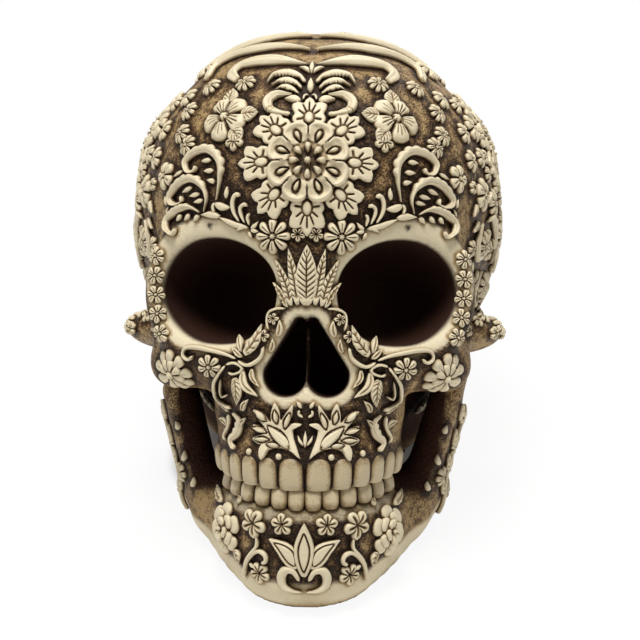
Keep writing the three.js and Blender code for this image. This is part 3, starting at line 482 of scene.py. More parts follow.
def curve(points: Sequence[Pair], spacing: float = 0.7) -> Array:
    """A smooth line through a few points.

    Args:
        points: points of the line, in order.
        spacing: distance between the points that it returns.

    Returns:
        Points along the line, one per row.
    """
    p = np.asarray(points, float)
    if len(p) == 2:
        count = max(int(np.linalg.norm(p[1] - p[0]) / spacing), 6)
        return p[0] + np.linspace(0, 1, count)[:, None] * (p[1] - p[0])
    ends = np.vstack([2 * p[0] - p[1], p, 2 * p[-1] - p[-2]])
    t = np.linspace(0, 1, 24, endpoint=False)[:, None]
    runs = []
    for a, b, c, d in zip(ends, ends[1:], ends[2:], ends[3:]):
        cubic = 2 * b + (c - a) * t + (2 * a - 5 * b + 4 * c - d) * t**2 + (3 * b - a - 3 * c + d) * t**3
        runs.append(cubic / 2)
    line = np.vstack(runs + [p[-1:]])
    length = np.concatenate([[0], np.cumsum(np.linalg.norm(np.diff(line, axis=0), axis=1))])
    count = max(int(length[-1] / spacing), 8)
    at = np.linspace(0, length[-1], count)
    return np.stack([np.interp(at, length, line[:, n]) for n in range(line.shape[1])], 1)


class Laying(Enum):
    """The side that a drawing is thrown onto the bone from, and how far out its rays start."""

    SIGHT = 140.0
    TOP = 150.0
    SIDE = 130.0
    REAR = 240.0

    def rays(self, flat: Array) -> tuple[Array, Array]:
        """Rays through the points of a drawing.

        Args:
            flat: points of the drawing, across and up.

        Returns:
            Where the rays start and which way they go.
        """
        u, v, none = flat[:, 0], flat[:, 1], np.zeros(len(flat))
        if self is Laying.SIGHT:
            eye = np.array([0, -VIEW_DISTANCE, -VIEW_DROP])
            way = unit(np.stack([u, none, v], 1) - eye)
            return eye + way * (VIEW_DISTANCE - self.value), way
        if self is Laying.TOP:
            return np.stack([u, v, none + self.value], 1), np.tile([0.0, 0.0, -1.0], (len(u), 1))
        if self is Laying.SIDE:
            return np.stack([none + self.value, u, v], 1), np.tile([-1.0, 0.0, 0.0], (len(u), 1))
        return np.stack([-u, none + self.value, v], 1), np.tile([0.0, -1.0, 0.0], (len(u), 1))


class Petal(Enum):
    """How the petals of a blossom are cut."""

    ROUND = "round"
    RIMMED = "rimmed"
    SLIM = "slim"
    VEINED = "veined"
    STAR = "star"
    CUPPED = "cupped"


@dataclass(frozen=True)
class Disc:
    """A raised flat form drawn round a middle point: rows run outwards and columns go round."""

    u: Array
    v: Array
    height: Array
    groove: Array
    top: float

    def placed(self, du: float, dv: float, degrees: float = 0.0) -> "Disc":
        """The same form turned and moved in its own plane."""
        c, s = heading(degrees)
        u, v = c * self.u - s * self.v + du, s * self.u + c * self.v + dv
        return Disc(u, v, self.height, self.groove, self.top)


@dataclass(frozen=True)
class Ribbon:
    """A raised stroke: a line on the drawing with its width, height and grooves."""

    line: Array
    left: Array
    right: Array
    across: Array
    height: Array
    groove: Array
    top: float


def rimmed_petals(rho: Array, a: Array, outline: Array, petals: int) -> tuple[Array, Array]:
    """The heart of the rosette: rimmed petals with a drop in each, stamens and a ring of plump drops.

    Args:
        rho: share of the way from the middle to the outline.
        a: 0 on a petal's axis, 1 where two petals meet.
        outline: radius of the outline, as a share of the rosette's.
        petals: how many petals.

    Returns:
        The height and the groove mask.
    """
    r = rho * outline
    aside, inward = a * math.pi / petals * r, (1 - a) * math.pi / petals * r
    edge = np.minimum(outline - r, inward)
    lip = np.exp(-(((outline - r - 0.07) / 0.08) ** 2))
    lip = np.maximum(lip, 0.8 * np.exp(-(((inward - 0.035) / 0.055) ** 2)) * smooth(0.42, 0.6, r))
    rise = 0.64 + 0.34 * lip
    groove = 0.2 * smooth(0.11, 0.2, edge)
    groove = np.maximum(groove, 0.8 * smooth(0.022, 0.006, inward) * smooth(0.56, 0.66, r))
    drop = np.hypot((r - 0.615) / 0.135, aside / (0.04 + 0.14 * np.clip(r - 0.48, 0, 1)))
    rise = rise + 0.34 * smooth(1.0, 0.4, drop)
    groove = np.maximum(groove, 0.7 * np.exp(-(((drop - 1.2) / 0.24) ** 2))) * smooth(0.7, 1.0, drop)
    line = np.exp(-((inward / 0.024) ** 2)) * smooth(0.44, 0.48, r) * smooth(0.6, 0.57, r)
    bead = smooth(1.0, 0.4, np.hypot((r - 0.56) / 0.045, inward / 0.045))
    rise = rise + 0.2 * np.maximum(line, 1.4 * bead)
    groove = groove * (1 - np.maximum(line, bead))
    floor = smooth(0.46, 0.4, r)
    groove = np.maximum(groove, floor * (0.4 + 0.4 * smooth(0.34, 0.2, r)))
    spoke = np.hypot((r - 0.3) / 0.135, inward / (0.05 + 0.28 * np.clip(r - 0.165, 0, 1)))
    rise = rise + 0.5 * smooth(1.0, 0.3, spoke)
    return rise, groove * smooth(0.75, 1.0, spoke)


def blossom(style: Petal, petals: int, radius: float, height: float, lift: float = 0.0) -> Disc:
    """A flower seen from above.

    Args:
        style: how its petals are cut.
        petals: how many petals.
        radius: of the whole flower.
        height: of its petals.
        lift: how far it stands over another layer.

    Returns:
        The flower as a disc.
    """
    fine = radius > 7
    spokes = petals * (20 if fine else 12)
    rings = 22 if fine else 11
    if style is Petal.RIMMED:
        spokes, rings = petals * 28, 50
    rho = np.linspace(0, 1, rings)[:, None]
    theta = np.linspace(0, 2 * math.pi, spokes, endpoint=False)[None, :]
    phase = (theta * petals / (2 * math.pi)) % 1 - 0.5
    a = np.abs(2 * phase)
    cleft = {Petal.RIMMED: 0.3, Petal.ROUND: 0.42, Petal.SLIM: 0.62, Petal.VEINED: 0.4}.get(style, 0.5)
    outline = 1 - cleft * (1 - np.sqrt(1 - (0.97 * a) ** 2.4))
    if style is Petal.STAR:
        outline = 0.46 + 0.54 * np.sqrt(1 - (0.97 * a) ** 1.6)
    across = 1 - a**2.4
    arch = 0.62 + 0.38 * np.sin(np.clip(rho * 1.05, 0, 1) * math.pi) ** 0.8
    rise = arch * (0.6 + 0.4 * across)
    gap = smooth(0.7, 0.98, a) * smooth(0.16, 0.34, rho)
    groove = 0.9 * gap
    if style is Petal.RIMMED:
        rise, groove = rimmed_petals(rho, a, outline, petals)
    if style in (Petal.SLIM, Petal.ROUND):
        line = np.exp(-((a * rho * radius / 0.34) ** 2)) * smooth(0.25, 0.4, rho) * smooth(0.86, 0.7, rho)
        groove = np.maximum(groove, line * (0.75 if style is Petal.SLIM else 0.35))
    if style is Petal.VEINED:
        veins = smooth(0.55, 0.9, np.cos(phase * 2 * math.pi * 5)) * smooth(0.12, 0.22, rho)
        groove = np.maximum(groove, veins * smooth(0.84, 0.6, rho + 0.2 * a))
        rise = rise + 0.08 * np.cos(phase * 2 * math.pi * 3) * smooth(0.6, 1, rho)
    if style is Petal.STAR:
        core = np.exp(-((a * rho / 0.16) ** 2)) * smooth(0.8, 0.62, rho)
        groove = np.maximum(0.4 * gap, core)
    if style is Petal.CUPPED:
        rise = 0.5 + 0.5 * smooth(0.25, 0.9, rho) * (0.55 + 0.45 * across)
        groove = np.maximum(groove, 0.8 * smooth(0.42, 0.2, rho))
    boss = 0.17 if style is not Petal.RIMMED else 0.085
    if style not in (Petal.STAR, Petal.CUPPED):
        dome = np.sqrt(np.maximum(1 - (rho / boss) ** 2, 0))
        rise = np.where(rho < boss, 0.72 + 0.33 * dome, rise)
        moat = np.exp(-(((rho - boss * 1.25) / (0.3 * boss)) ** 2))
        groove = np.maximum(np.where(rho < boss, 0, groove), 0.8 * moat)
    round_off = np.sqrt(np.maximum(1 - np.clip((rho - 0.8) / 0.2, 0, 1) ** 2 * 0.75, 0))
    tall = height * (rise * round_off - CUT_SHARE * groove)
    flat = radius * outline * rho
    return _closed(flat * np.cos(theta), flat * np.sin(theta), np.maximum(tall, LEAST_SHARE * height) + lift,
                   groove + 0 * theta, height + lift)


def _closed(u: Array, v: Array, tall: Array, groove: Array, top: float) -> Disc:
    """Adds a wall that goes down into the bone, and a floor, to a disc."""
    wall = np.full((1, u.shape[1]), -SKIRT)
    dark = np.ones((1, u.shape[1]))
    u = np.vstack([u, u[-1:], 0 * u[-1:] + u[:1]])
    v = np.vstack([v, v[-1:], 0 * v[-1:] + v[:1]])
    return Disc(u, v, np.vstack([tall, wall, wall]), np.vstack([groove, dark, dark]), top)


def cutout(outline: Sequence[Pair], height: float, spokes: int, rings: int,
           detail: Callable[[Array, Array], tuple[Array, Array]]) -> Disc:
    """A flat form of any outline that can all be seen from its middle point.

    Args:
        outline: corners of its edge, anticlockwise round the middle point.
        height: how far it stands up.
        spokes: how many points go round it.
        rings: how many points run from its middle to its edge.
        detail: the share of the height and the cuts, for points across and up.

    Returns:
        The form as a disc.
    """
    edge = curve([*outline, outline[0]], 0.25)
    theta = np.linspace(0, 2 * math.pi, spokes, endpoint=False)
    reach = np.interp(theta, np.arctan2(edge[:, 1], edge[:, 0]), np.hypot(*edge.T), period=2 * math.pi)
    rho = np.linspace(0, 1, rings)[:, None]
    u, v = rho * reach * np.cos(theta), rho * reach * np.sin(theta)
    from_edge = np.clip((1 - rho) * reach / 1.2, 0, 1)
    rise, groove = detail(u, v)
    tall = height * (rise * (0.5 + 0.5 * np.sqrt(1 - (1 - from_edge) ** 2)) - CUT_SHARE * groove)
    return _closed(u, v, np.maximum(tall, LEAST_SHARE * height), groove, height)


def shield(length: float, width: float, height: float) -> Disc:
    """A leaf with two pairs of shoulders and a pointed lobe, with a drop and cuts that fan out from it.

    Args:
        length: from its stem to its point, which lies across to the right.
        width: over the shoulders.
        height: how far it stands up.

    Returns:
        The leaf as a disc round its middle.
    """
    side = [(0.5, 0.0), (0.42, 0.1), (0.31, 0.17), (0.34, 0.3), (0.29, 0.47), (0.13, 0.46), (0.0, 0.4),
            (-0.12, 0.45), (-0.3, 0.38), (-0.44, 0.16)]
    right = [(length * a, width * b) for a, b in side]
    outline = right + [(-0.47 * length, 0.0)] + [(a, -b) for a, b in right[:0:-1]]
    drop_at, drop_long, drop_wide = -0.13 * length, 0.17 * length, 0.12 * width
    cuts = np.radians([0, 33, 62, 95, -33, -62, -95])

    def detail(u: Array, v: Array) -> tuple[Array, Array]:
        """The drop, the dark line round it and the cuts."""
        out = np.hypot((u - drop_at) / drop_long, v / drop_wide)
        turn = np.arctan2(v / drop_wide, (u - drop_at) / drop_long)
        aside = np.min(np.abs(turn[..., None] - cuts), -1) * out * 0.5 * (drop_long + drop_wide)
        dash = np.exp(-((aside / 0.34) ** 2)) * smooth(1.15, 1.3, out) * smooth(2.9, 2.5, out)
        ring = np.exp(-(((out - 1.1) / 0.16) ** 2))
        return 0.86 + 0.2 * smooth(0.95, 0.5, out), np.maximum(0.95 * dash, 0.9 * ring)

    return cutout(outline, height, 144, 22, detail)


def ball(radius: float, height: float) -> Disc:
    """A round bead."""
    rho = np.linspace(0, 1, 7)[:, None]
    theta = np.linspace(0, 2 * math.pi, 18, endpoint=False)[None, :]
    tall = height * np.sqrt(np.maximum(1 - 0.9 * rho**2, 0)) + 0 * theta
    return _closed(radius * rho * np.cos(theta), radius * rho * np.sin(theta), tall, 0 * tall, height)


COLUMNS = np.array([-1.0, -0.97, -0.86, -0.66, -0.4, -0.16, 0.0, 0.16, 0.4, 0.66, 0.86, 0.97, 1.0])


def stroke(points: Sequence[Pair], width: float, height: float, start: float, finish: float) -> Ribbon:
    """A stem or a curl.

    Args:
        points: the line that it follows.
        width: its widest.
        height: how far it stands up.
        start: share of the width at its start.
        finish: share of the width near its end, which is rounded.

    Returns:
        The stroke as a ribbon.
    """
    line = curve(points)
    s = np.linspace(0, 1, len(line))
    length = np.linalg.norm(np.diff(line, axis=0), axis=1).sum()
    half = width / 2 * (start + (1 - start) * smooth(0, 0.45, s)) * (1 + (finish - 1) * smooth(0.5, 1, s))
    tip = np.clip((1 - s) * length / (width / 2), 0, 1)
    toe = np.clip(s * length / (width / 2), 0, 1)
    half = np.maximum(half * np.sqrt(1 - (1 - tip) ** 2) * np.sqrt(1 - (1 - toe) ** 2), THINNEST)
    crown = (1 - np.abs(COLUMNS[None, :]) ** SECTION_POWER) ** 0.5
    tall = height * (0.34 + 0.66 * crown) * (0.55 + 0.45 * np.minimum(half / half.max() * 1.6, 1))[:, None]
    return Ribbon(line, half, half, COLUMNS, tall, np.zeros_like(tall), height)


def scroll(points: Sequence[Pair], width: float, height: float, scallops: int, ribs: int = 0) -> Ribbon:
    """A curled leaf: thin at its stem, broad and scalloped over its bend, and round at its end.

    Args:
        points: the line that it follows.
        width: its widest.
        height: how far it stands up.
        scallops: how many scallops its outer edge has.
        ribs: how many ribs cross its last part.

    Returns:
        The scroll as a ribbon.
    """
    line = curve(points, 0.45)
    s = np.linspace(0, 1, len(line))
    length = np.linalg.norm(np.diff(line, axis=0), axis=1).sum()
    places, shares = [0, 0.12, 0.3, 0.48, 0.68, 0.85, 1], [0.22, 0.4, 0.85, 1, 0.8, 0.56, 0.6]
    half = width / 2 * np.interp(s, places, shares)
    tip = np.clip((1 - s) * length / (0.3 * width), 0, 1)
    half = np.maximum(half * np.sqrt(1 - (1 - tip) ** 2), THINNEST)
    edge = np.abs(np.sin(math.pi * scallops * np.clip((s - 0.2) / 0.62, 0, 1))) ** 0.7
    left = half * (1 + 0.8 * edge * smooth(0.14, 0.26, s) * smooth(0.86, 0.74, s))
    t = COLUMNS[None, :]
    dome = (1 - np.abs(t) ** SECTION_POWER) ** 0.5 + 0.22 * np.exp(-(((t - 0.55) / 0.35) ** 2))
    tall = height * (0.32 + 0.62 * dome) * (0.6 + 0.4 * np.minimum(half / half.max() * 1.5, 1))[:, None]
    cross = np.zeros_like(s)
    if ribs:
        cross = smooth(0.5, 0.95, np.cos(2 * math.pi * ribs * (s - 0.55) / 0.42)) * (s > 0.55) * (s < 0.97)
    cut = np.maximum(0.8 * cross[:, None] + 0 * t, 0.35 * np.exp(-(((t + 0.35) / 0.3) ** 2)))
    return Ribbon(line, left, half, COLUMNS, tall - 0.3 * height * cut, cut, height)


def plume(points: Sequence[Pair], width: float, height: float) -> Ribbon:
    """A scythe-shaped plume: blunt where it starts, broad at mid length and pointed at its end.

    Args:
        points: the line that it follows.
        width: its widest.
        height: how far it stands up.

    Returns:
        The plume as a ribbon.
    """
    line = curve(points)
    s = np.linspace(0, 1, len(line))
    half = width / 2 * np.interp(s, [0, 0.05, 0.14, 0.45, 0.62, 1], [0.3, 0.5, 0.52, 0.95, 1.0, 0.06])
    half = np.convolve(np.pad(half, 4, "edge"), np.full(9, 1 / 9), "valid")
    t = COLUMNS[None, :]
    ridge = np.exp(-(((t - 0.62) / 0.3) ** 2))
    section = 0.42 + 0.3 * (1 - np.abs(t) ** 3) + 0.34 * ridge
    tall = height * section * (0.7 + 0.3 * np.sin(math.pi * s))[:, None]
    cut = 0.3 * np.exp(-(((t + 0.1) / 0.3) ** 2)) * (smooth(0.05, 0.2, s) * smooth(0.95, 0.7, s))[:, None]
    return Ribbon(line, half, half, COLUMNS, tall, cut, height)


def leaf(base: Pair, tip: Pair, width: float, bend: float = 0.0, height: float = 2.0, veins: int = 0,
         inset: bool = False, midrib: float = 0.8, belly: float = 0.42) -> Ribbon:
    """A leaf from its base to its tip.

    Args:
        base: where its stem is.
        tip: its point.
        width: its widest.
        bend: how far its middle swings to the left, as a share of its length.
        height: how far it stands up.
        veins: how many side veins are cut on each side.
        inset: whether a smaller leaf is cut round inside it.
        midrib: how dark the cut along its middle is.
        belly: where it is widest, as a share of its length.

    Returns:
        The leaf as a ribbon.
    """
    a, b = np.asarray(base, float), np.asarray(tip, float)
    aside = np.array([-(b - a)[1], (b - a)[0]])
    big = width > 3.2
    line = curve([tuple(a), tuple((a + b) / 2 + bend * aside), tuple(b)], 0.36 if big else 0.6)
    s = np.linspace(0, 1, len(line))
    half = np.sin(math.pi * s ** (math.log(0.5) / math.log(belly))) ** 0.85
    half = np.maximum(half * width / 2, THINNEST)
    columns = np.linspace(-1, 1, 27 if big else 11)
    t = columns[None, :]
    dome = 0.5 + 0.5 * np.sqrt(np.maximum(1 - np.abs(t) ** SECTION_POWER, 0))
    keel = 0.1 * np.abs(t) if big else 0 * t
    body = (smooth(0, 0.1, s) * (0.72 + 0.28 * np.sin(math.pi * s)))[:, None]
    inland = (smooth(0.1, 0.2, s) * smooth(0.9, 0.72, s))[:, None]
    cut = midrib * np.exp(-((t * half[:, None] / 0.34) ** 2)) * inland
    if veins:
        wave = (s[:, None] * veins - 0.9 * veins * half.max() / np.linalg.norm(b - a) * np.abs(t)) % 1
        thin = np.exp(-(((wave - 0.5) / 0.13) ** 2)) * smooth(0.97, 0.7, np.abs(t))
        cut = np.maximum(cut, 0.9 * thin * (smooth(0.1, 0.2, s) * smooth(0.97, 0.85, s))[:, None])
    if inset:
        inner = 0.56 * np.interp((s - 0.5) / 0.7 + 0.5, s, half, 0, 0)
        from_line = np.abs(t) * half[:, None] - inner[:, None]
        cut = 0.95 * np.exp(-((from_line / 0.32) ** 2)) * (inner > 0)[:, None]
    tall = height * (dome * body + keel) * (1 - 0.4 * cut)
    return Ribbon(line, half, half, columns, tall, cut, height)


def seed(x: float, z: float, degrees: float, length: float, width: float) -> Ribbon:
    """A small plain leaf with a domed back, laid about its middle."""
    c, s = heading(degrees, length / 2)
    return leaf((x - c, z - s), (x + c, z + s), width, height=1.5, midrib=0)


@dataclass
class Piece:
    """One relief to be made: its forms with where each is laid, and the CAD nodes that it stands for."""

    name: str
    shape: Shape
    nodes: tuple[str, ...] = ()
    mirrored: bool = False
    both: bool = False
    discs: list[tuple[Disc, "Spot"]] = field(default_factory=list)
    ribbons: list[tuple[Ribbon, "Laying | Spot"]] = field(default_factory=list)


@dataclass(frozen=True)
class Spot:
    """A place on a bone with the flat axes of a drawing there."""

    middle: Array
    right: Array
    up: Array

    @staticmethod
    def at(shape: Shape, laying: Laying, u: float, v: float, degrees: float = 0.0) -> "Spot":
        """Finds a place by following one ray.

        Args:
            shape: the bone.
            laying: the side that the ray comes from.
            u: across the drawing.
            v: up the drawing.
            degrees: how far the drawing is turned there, anticlockwise.

        Returns:
            The place.
        """
        middle = shape.settle(shape.meet(*laying.rays(np.array([[u, v]], float))), shape.bone, 6)
        normal = unit(shape.slope(middle, shape.bone))[0]
        upright = np.array([0.0, 1.0, 0.0]) if abs(normal[2]) > 0.85 else np.array([0.0, 0.0, 1.0])
        up = unit(upright - normal * (normal @ upright))
        right = np.cross(up, normal)
        c, s = heading(degrees)
        return Spot(middle[0], c * right + s * up, c * up - s * right)

    @staticmethod
    def middles(shape: Shape, laying: Laying, places: Array) -> Array:
        """Where the rays through many places of a drawing meet the bone."""
        return shape.settle(shape.meet(*laying.rays(places)), shape.bone, 4)

    def over(self, u: Array, v: Array) -> Array:
        """Points of a drawing in the plane that touches the bone here."""
        return self.middle + u[..., None] * self.right + v[..., None] * self.up


class Carver:
    """Collects reliefs, lays them over the bones and makes their meshes."""

    def __init__(self, finish: bpy.types.Material) -> None:
        """Starts with no pieces.

        Args:
            finish: the material of every relief.
        """
        self.finish = finish
        self.pieces: list[Piece] = []
        self.outline: list[Array] = []

    def piece(self, name: str, shape: Shape, nodes: Iterable[str] = (), mirrored: bool = False,
              both: bool = False) -> Piece:
        """Starts a piece.

        Args:
            name: its name, ending in _right where a left one is made too.
            shape: the bone that it lies on.
            nodes: CAD nodes that it stands for.
            mirrored: whether a second piece is made on the other side.
            both: whether its forms are repeated on the other side within it.

        Returns:
            The piece, to which forms are added.
        """
        made = Piece(name, shape, tuple(nodes), mirrored, both)
        self.pieces.append(made)
        return made

    def disc(self, piece: Piece, form: Disc, spot: Spot) -> None:
        """Adds a disc at a spot."""
        piece.discs.append((form, spot))

    def ribbon(self, piece: Piece, form: Ribbon, laying: "Laying | Spot" = Laying.SIGHT) -> None:
        """Adds a ribbon that is thrown onto the bone from a side or drawn at a spot."""
        piece.ribbons.append((form, laying))

    def trace_all(self) -> Array:
        """Points along every ribbon and round every disc so far, on both sides."""
        runs = []
        for piece in self.pieces:
            for form, laying in piece.ribbons:
                runs.append(self._trace(piece.shape, form.line, laying))
            for form, spot in piece.discs:
                runs.append(spot.over(form.u[:-1:4].ravel()[::3], form.v[:-1:4].ravel()[::3]))
                runs.append(spot.over(form.u[-2], form.v[-2]))
        line = np.vstack(runs)
        return np.vstack([line, line * MIRROR])

    def make(self) -> None:
        """Lays and makes all pieces."""
        for piece in self.pieces:
            points, faces, rise, groove = self._lay(piece)
            if piece.both:
                faces = faces + [tuple(n + len(points) for n in reversed(f)) for f in faces]
                points = np.vstack([points, points * MIRROR])
                rise, groove = np.tile(rise, 2), np.tile(groove, 2)
            self._object(piece.name, piece.nodes, points, faces, rise, groove)
            if piece.mirrored:
                other = [tuple(reversed(f)) for f in faces]
                nodes = [n.replace(RIGHT, LEFT) for n in piece.nodes]
                self._object(piece.name.replace(RIGHT, LEFT), nodes, points * MIRROR, other, rise, groove)

    def _lay(self, piece: Piece) -> tuple[Array, list[tuple[int, ...]], Array, Array]:
        """Lays the forms of one piece over its bone."""
        flat, tall, cut, tops, faces, count = [], [], [], [], [], 0
        for form, spot in piece.discs:
            count = self._add(spot.over(form.u, form.v), form, (flat, tall, cut, tops, faces), count)
        for form, laying in piece.ribbons:
            line = self._trace(piece.shape, form.line, laying)
            normal = unit(piece.shape.slope(line, piece.shape.bone))
            ahead = unit(np.gradient(line, axis=0))
            aside = unit(np.cross(normal, ahead))
            reach = np.where(form.across[None, :] < 0, form.right[:, None], form.left[:, None]) * form.across
            grid = line[:, None, :] + reach[..., None] * aside[:, None, :]
            count = self._add(grid, form, (flat, tall, cut, tops, faces), count)
        flat, tall = np.vstack(flat), np.concatenate(tall)
        ground = piece.shape.settle(flat, piece.shape.bone, 4)
        normal = unit(piece.shape.slope(ground, piece.shape.bone))
        self.outline.append(ground[tall <= 0])
        if piece.mirrored or piece.both:
            self.outline.append(ground[tall <= 0] * MIRROR)
        rise = np.clip(tall / np.concatenate(tops), 0, 1)
        return ground + normal * tall[:, None], faces, rise, np.concatenate(cut)

    @staticmethod
    def _trace(shape: Shape, line: Array, laying: "Laying | Spot") -> Array:
        """A drawn line on the bone, evenly spaced."""
        if isinstance(laying, Spot):
            path = laying.over(line[:, 0], line[:, 1])
        else:
            path = shape.meet(*laying.rays(line))
        path = shape.settle(path, shape.bone, 4)
        length = np.concatenate([[0], np.cumsum(np.linalg.norm(np.diff(path, axis=0), axis=1))])
        even = np.linspace(0, length[-1], len(path))
        return np.stack([np.interp(even, length, path[:, n]) for n in range(3)], 1)

    @staticmethod
    def _add(grid: Array, form: "Disc | Ribbon", into: tuple, count: int) -> int:
        """Adds one form's grid as a closed body.

        Args:
            grid: its points, by row and column.
            form: its heights and grooves.
            into: the lists of points, heights, grooves, tops and faces.
            count: how many points there are so far.

        Returns:
            How many points there are now.
        """
        flat, tall, cut, tops, faces = into
        height, groove = form.height, form.groove
        if isinstance(form, Ribbon):
            low = np.full((len(grid), 1), -SKIRT)
            grid = np.concatenate([grid[:, :1], grid, grid[:, -1:]], 1)
            height = np.concatenate([low, height, low], 1)
            groove = np.concatenate([low * 0 + 1, groove, low * 0 + 1], 1)
            ends = np.repeat(line_ends(grid), grid.shape[1], 1)
            grid = np.concatenate([ends[:1], grid, ends[1:]], 0)
            foot = np.full((1, grid.shape[1]), -SKIRT)
            height = np.concatenate([foot, height, foot], 0)
            groove = np.concatenate([foot * 0 + 1, groove, foot * 0 + 1], 0)
        points = body_points(grid)
        flat.append(points)
        tall.append(body_points(height[..., None])[:, 0])
        cut.append(body_points(groove[..., None])[:, 0])
        tops.append(np.full(len(points), form.top))
        faces.extend(body_faces(*height.shape, count))
        return count + len(points)

    def _object(self, name: str, nodes: Iterable[str], points: Array, faces: list, rise: Array,
                groove: Array) -> None:
        """Makes one relief's object with its masks of wash and painted shade."""
        made = mesh_object(name, points, faces, {"rise": rise, "groove": groove}, self.finish)
        seat(made, nodes)


def body_points(grid: Array) -> Array:
    """The points of a closed body from its rows, of which the first and the last are single points."""
    return np.vstack([grid[0, :1], grid[1:-1].reshape(-1, grid.shape[2]), grid[-1, :1]])


def body_faces(rows: int, columns: int, first: int = 0) -> list[tuple[int, ...]]:
    """The faces of a closed body whose rows go round.

    Args:
        rows: how many rows its grid has, with the two that are single points.
        columns: how many points go round.
        first: the number of its first point.

    Returns:
        Corners of each face, facing out where rows and columns make a right-handed pair.
    """
    index = np.empty((rows, columns), int)
    index[0] = 0
    index[1:-1] = 1 + np.arange((rows - 2) * columns).reshape(rows - 2, columns)
    index[-1] = (rows - 2) * columns + 1
    index += first
    after = np.roll(index, -1, 1)
    faces = list(zip(index[0], index[1], after[1]))
    middle = [index[1:-2], index[2:-1], after[2:-1], after[1:-2]]
    faces.extend(map(tuple, np.stack(middle, -1).reshape(-1, 4)))
    faces.extend(zip(index[-2], index[-1], after[-2]))
    return faces


def line_ends(grid: Array) -> Array:
    """The middle of the first and of the last row of a grid."""
    return np.stack([grid[0].mean(0), grid[-1].mean(0)])[:, None, :]


def add_object(name: str, data: bpy.types.ID) -> bpy.types.Object:
    """Adds an object to the scene."""
    made = bpy.data.objects.new(name, data)
    bpy.context.scene.collection.objects.link(made)
    return made


def mesh_object(name: str, points: Array, faces: Sequence, masks: dict[str, Array],
                finish: bpy.types.Material) -> bpy.types.Object:
    """Makes an object from face frame points.

    Args:
        name: the piece's name.
        points: face frame points in millimetres.
        faces: corners of each face.
        masks: named values for each point.
        finish: its material.

    Returns:
        The object, in the part's place.
    """
    mesh = bpy.data.meshes.new(name)
    faces = [tuple(int(n) for n in f) for f in faces]
    mesh.from_pydata(HEAD.to_world(points).tolist(), [], faces)
    for mask, values in masks.items():
        made = mesh.attributes.new(mask, "FLOAT", "POINT")
        made.data.foreach_set("value", np.asarray(values, np.float32))
    mesh.polygons.foreach_set("use_smooth", np.ones(len(mesh.polygons), bool))
    mesh.materials.append(finish)
    mesh.update()
    return add_object(name, mesh)


def seat(piece: bpy.types.Object, nodes: Iterable[str] = ()) -> None:
    """Rides a piece on the part, hides the nodes that it stands for and logs them."""
    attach(piece, BODY)
    nodes = list(nodes)
    if nodes:
        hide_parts(*nodes)
    purpose = ", ".join(nodes) or "the look alone"
    log.info("%s: %d faces, for %s", piece.name, len(piece.data.polygons), purpose)


# Finishes

Socket = bpy.types.NodeSocket


def srgb(red: int, green: int, blue: int) -> tuple[float, float, float, float]:
    """A screen colour, each part 0 to 255, as the linear colour that shaders use."""
    parts = [c / 255 for c in (red, green, blue)]
    linear = [c / 12.92 if c <= 0.04045 else ((c + 0.055) / 1.055) ** 2.4 for c in parts]
    return (*linear, 1.0)


class Net:
    """Adds nodes to a shader tree and joins them."""

    def __init__(self, tree: bpy.types.NodeTree) -> None:
        """Works on one tree."""
        self.tree = tree

    def put(self, kind: str, inputs: "dict | None" = None, **settings: object) -> bpy.types.Node:
        """Adds a node.

        Args:
            kind: its type.
            inputs: a socket or a constant for each input, by name or number.
            settings: its own settings.

        Returns:
            The node.
        """
        made = self.tree.nodes.new(kind)
        for name, value in settings.items():
            setattr(made, name, value)
        for name, value in (inputs or {}).items():
            if isinstance(value, Socket):
                self.tree.links.new(value, made.inputs[name])
            else:
                made.inputs[name].default_value = value
        return made

    def sum(self, operation: str, a: "Socket | float", b: "Socket | float" = 0.0) -> Socket:
        """A sum of two values."""
        return self.put("ShaderNodeMath", {0: a, 1: b}, operation=operation).outputs[0]

    def ramp(self, value: Socket, low: float, high: float, start: float = 0.0, end: float = 1.0) -> Socket:
        """A smooth rise of a value between two levels."""
        inputs = {"Value": value, "From Min": low, "From Max": high, "To Min": start, "To Max": end}
        return self.put("ShaderNodeMapRange", inputs, interpolation_type="SMOOTHSTEP").outputs["Result"]

    def mix(self, share: "Socket | float", a: "Socket | tuple", b: "Socket | tuple") -> Socket:
        """A mix of two colours."""
        return self.put("ShaderNodeMix", {0: share, 6: a, 7: b}, data_type="RGBA").outputs[2]

    def mask(self, name: str) -> Socket:
        """A value that the mesh carries."""
        return self.put("ShaderNodeAttribute", attribute_name=name).outputs["Fac"]

    def noise(self, place: Socket, scale: float, detail: float = 3.0) -> Socket:
        """Cloudy noise."""
        inputs = {"Vector": place, "Scale": scale, "Detail": detail, "Roughness": 0.6}
        return self.put("ShaderNodeTexNoise", inputs).outputs["Fac"]


def new_group(name: str, inputs: dict[str, str], outputs: dict[str, str]) -> bpy.types.NodeTree:
    """Starts a shader group with its sockets.

    Args:
        name: its name.
        inputs: socket types by name.
        outputs: socket types by name.

    Returns:
        The group.
    """
    tree = bpy.data.node_groups.new(name, "ShaderNodeTree")
    for label, kind in inputs.items():
        tree.interface.new_socket(name=label, in_out="INPUT", socket_type=kind)
    for label, kind in outputs.items():
        tree.interface.new_socket(name=label, in_out="OUTPUT", socket_type=kind)
    return tree


def new_material(name: str) -> tuple[bpy.types.Material, Net]:
    """Starts an empty material.

    Args:
        name: its name.

    Returns:
        The material and the net of its nodes.
    """
    made = bpy.data.materials.new(name)
    made.use_nodes = True
    made.node_tree.nodes.clear()
    return made, Net(made.node_tree)


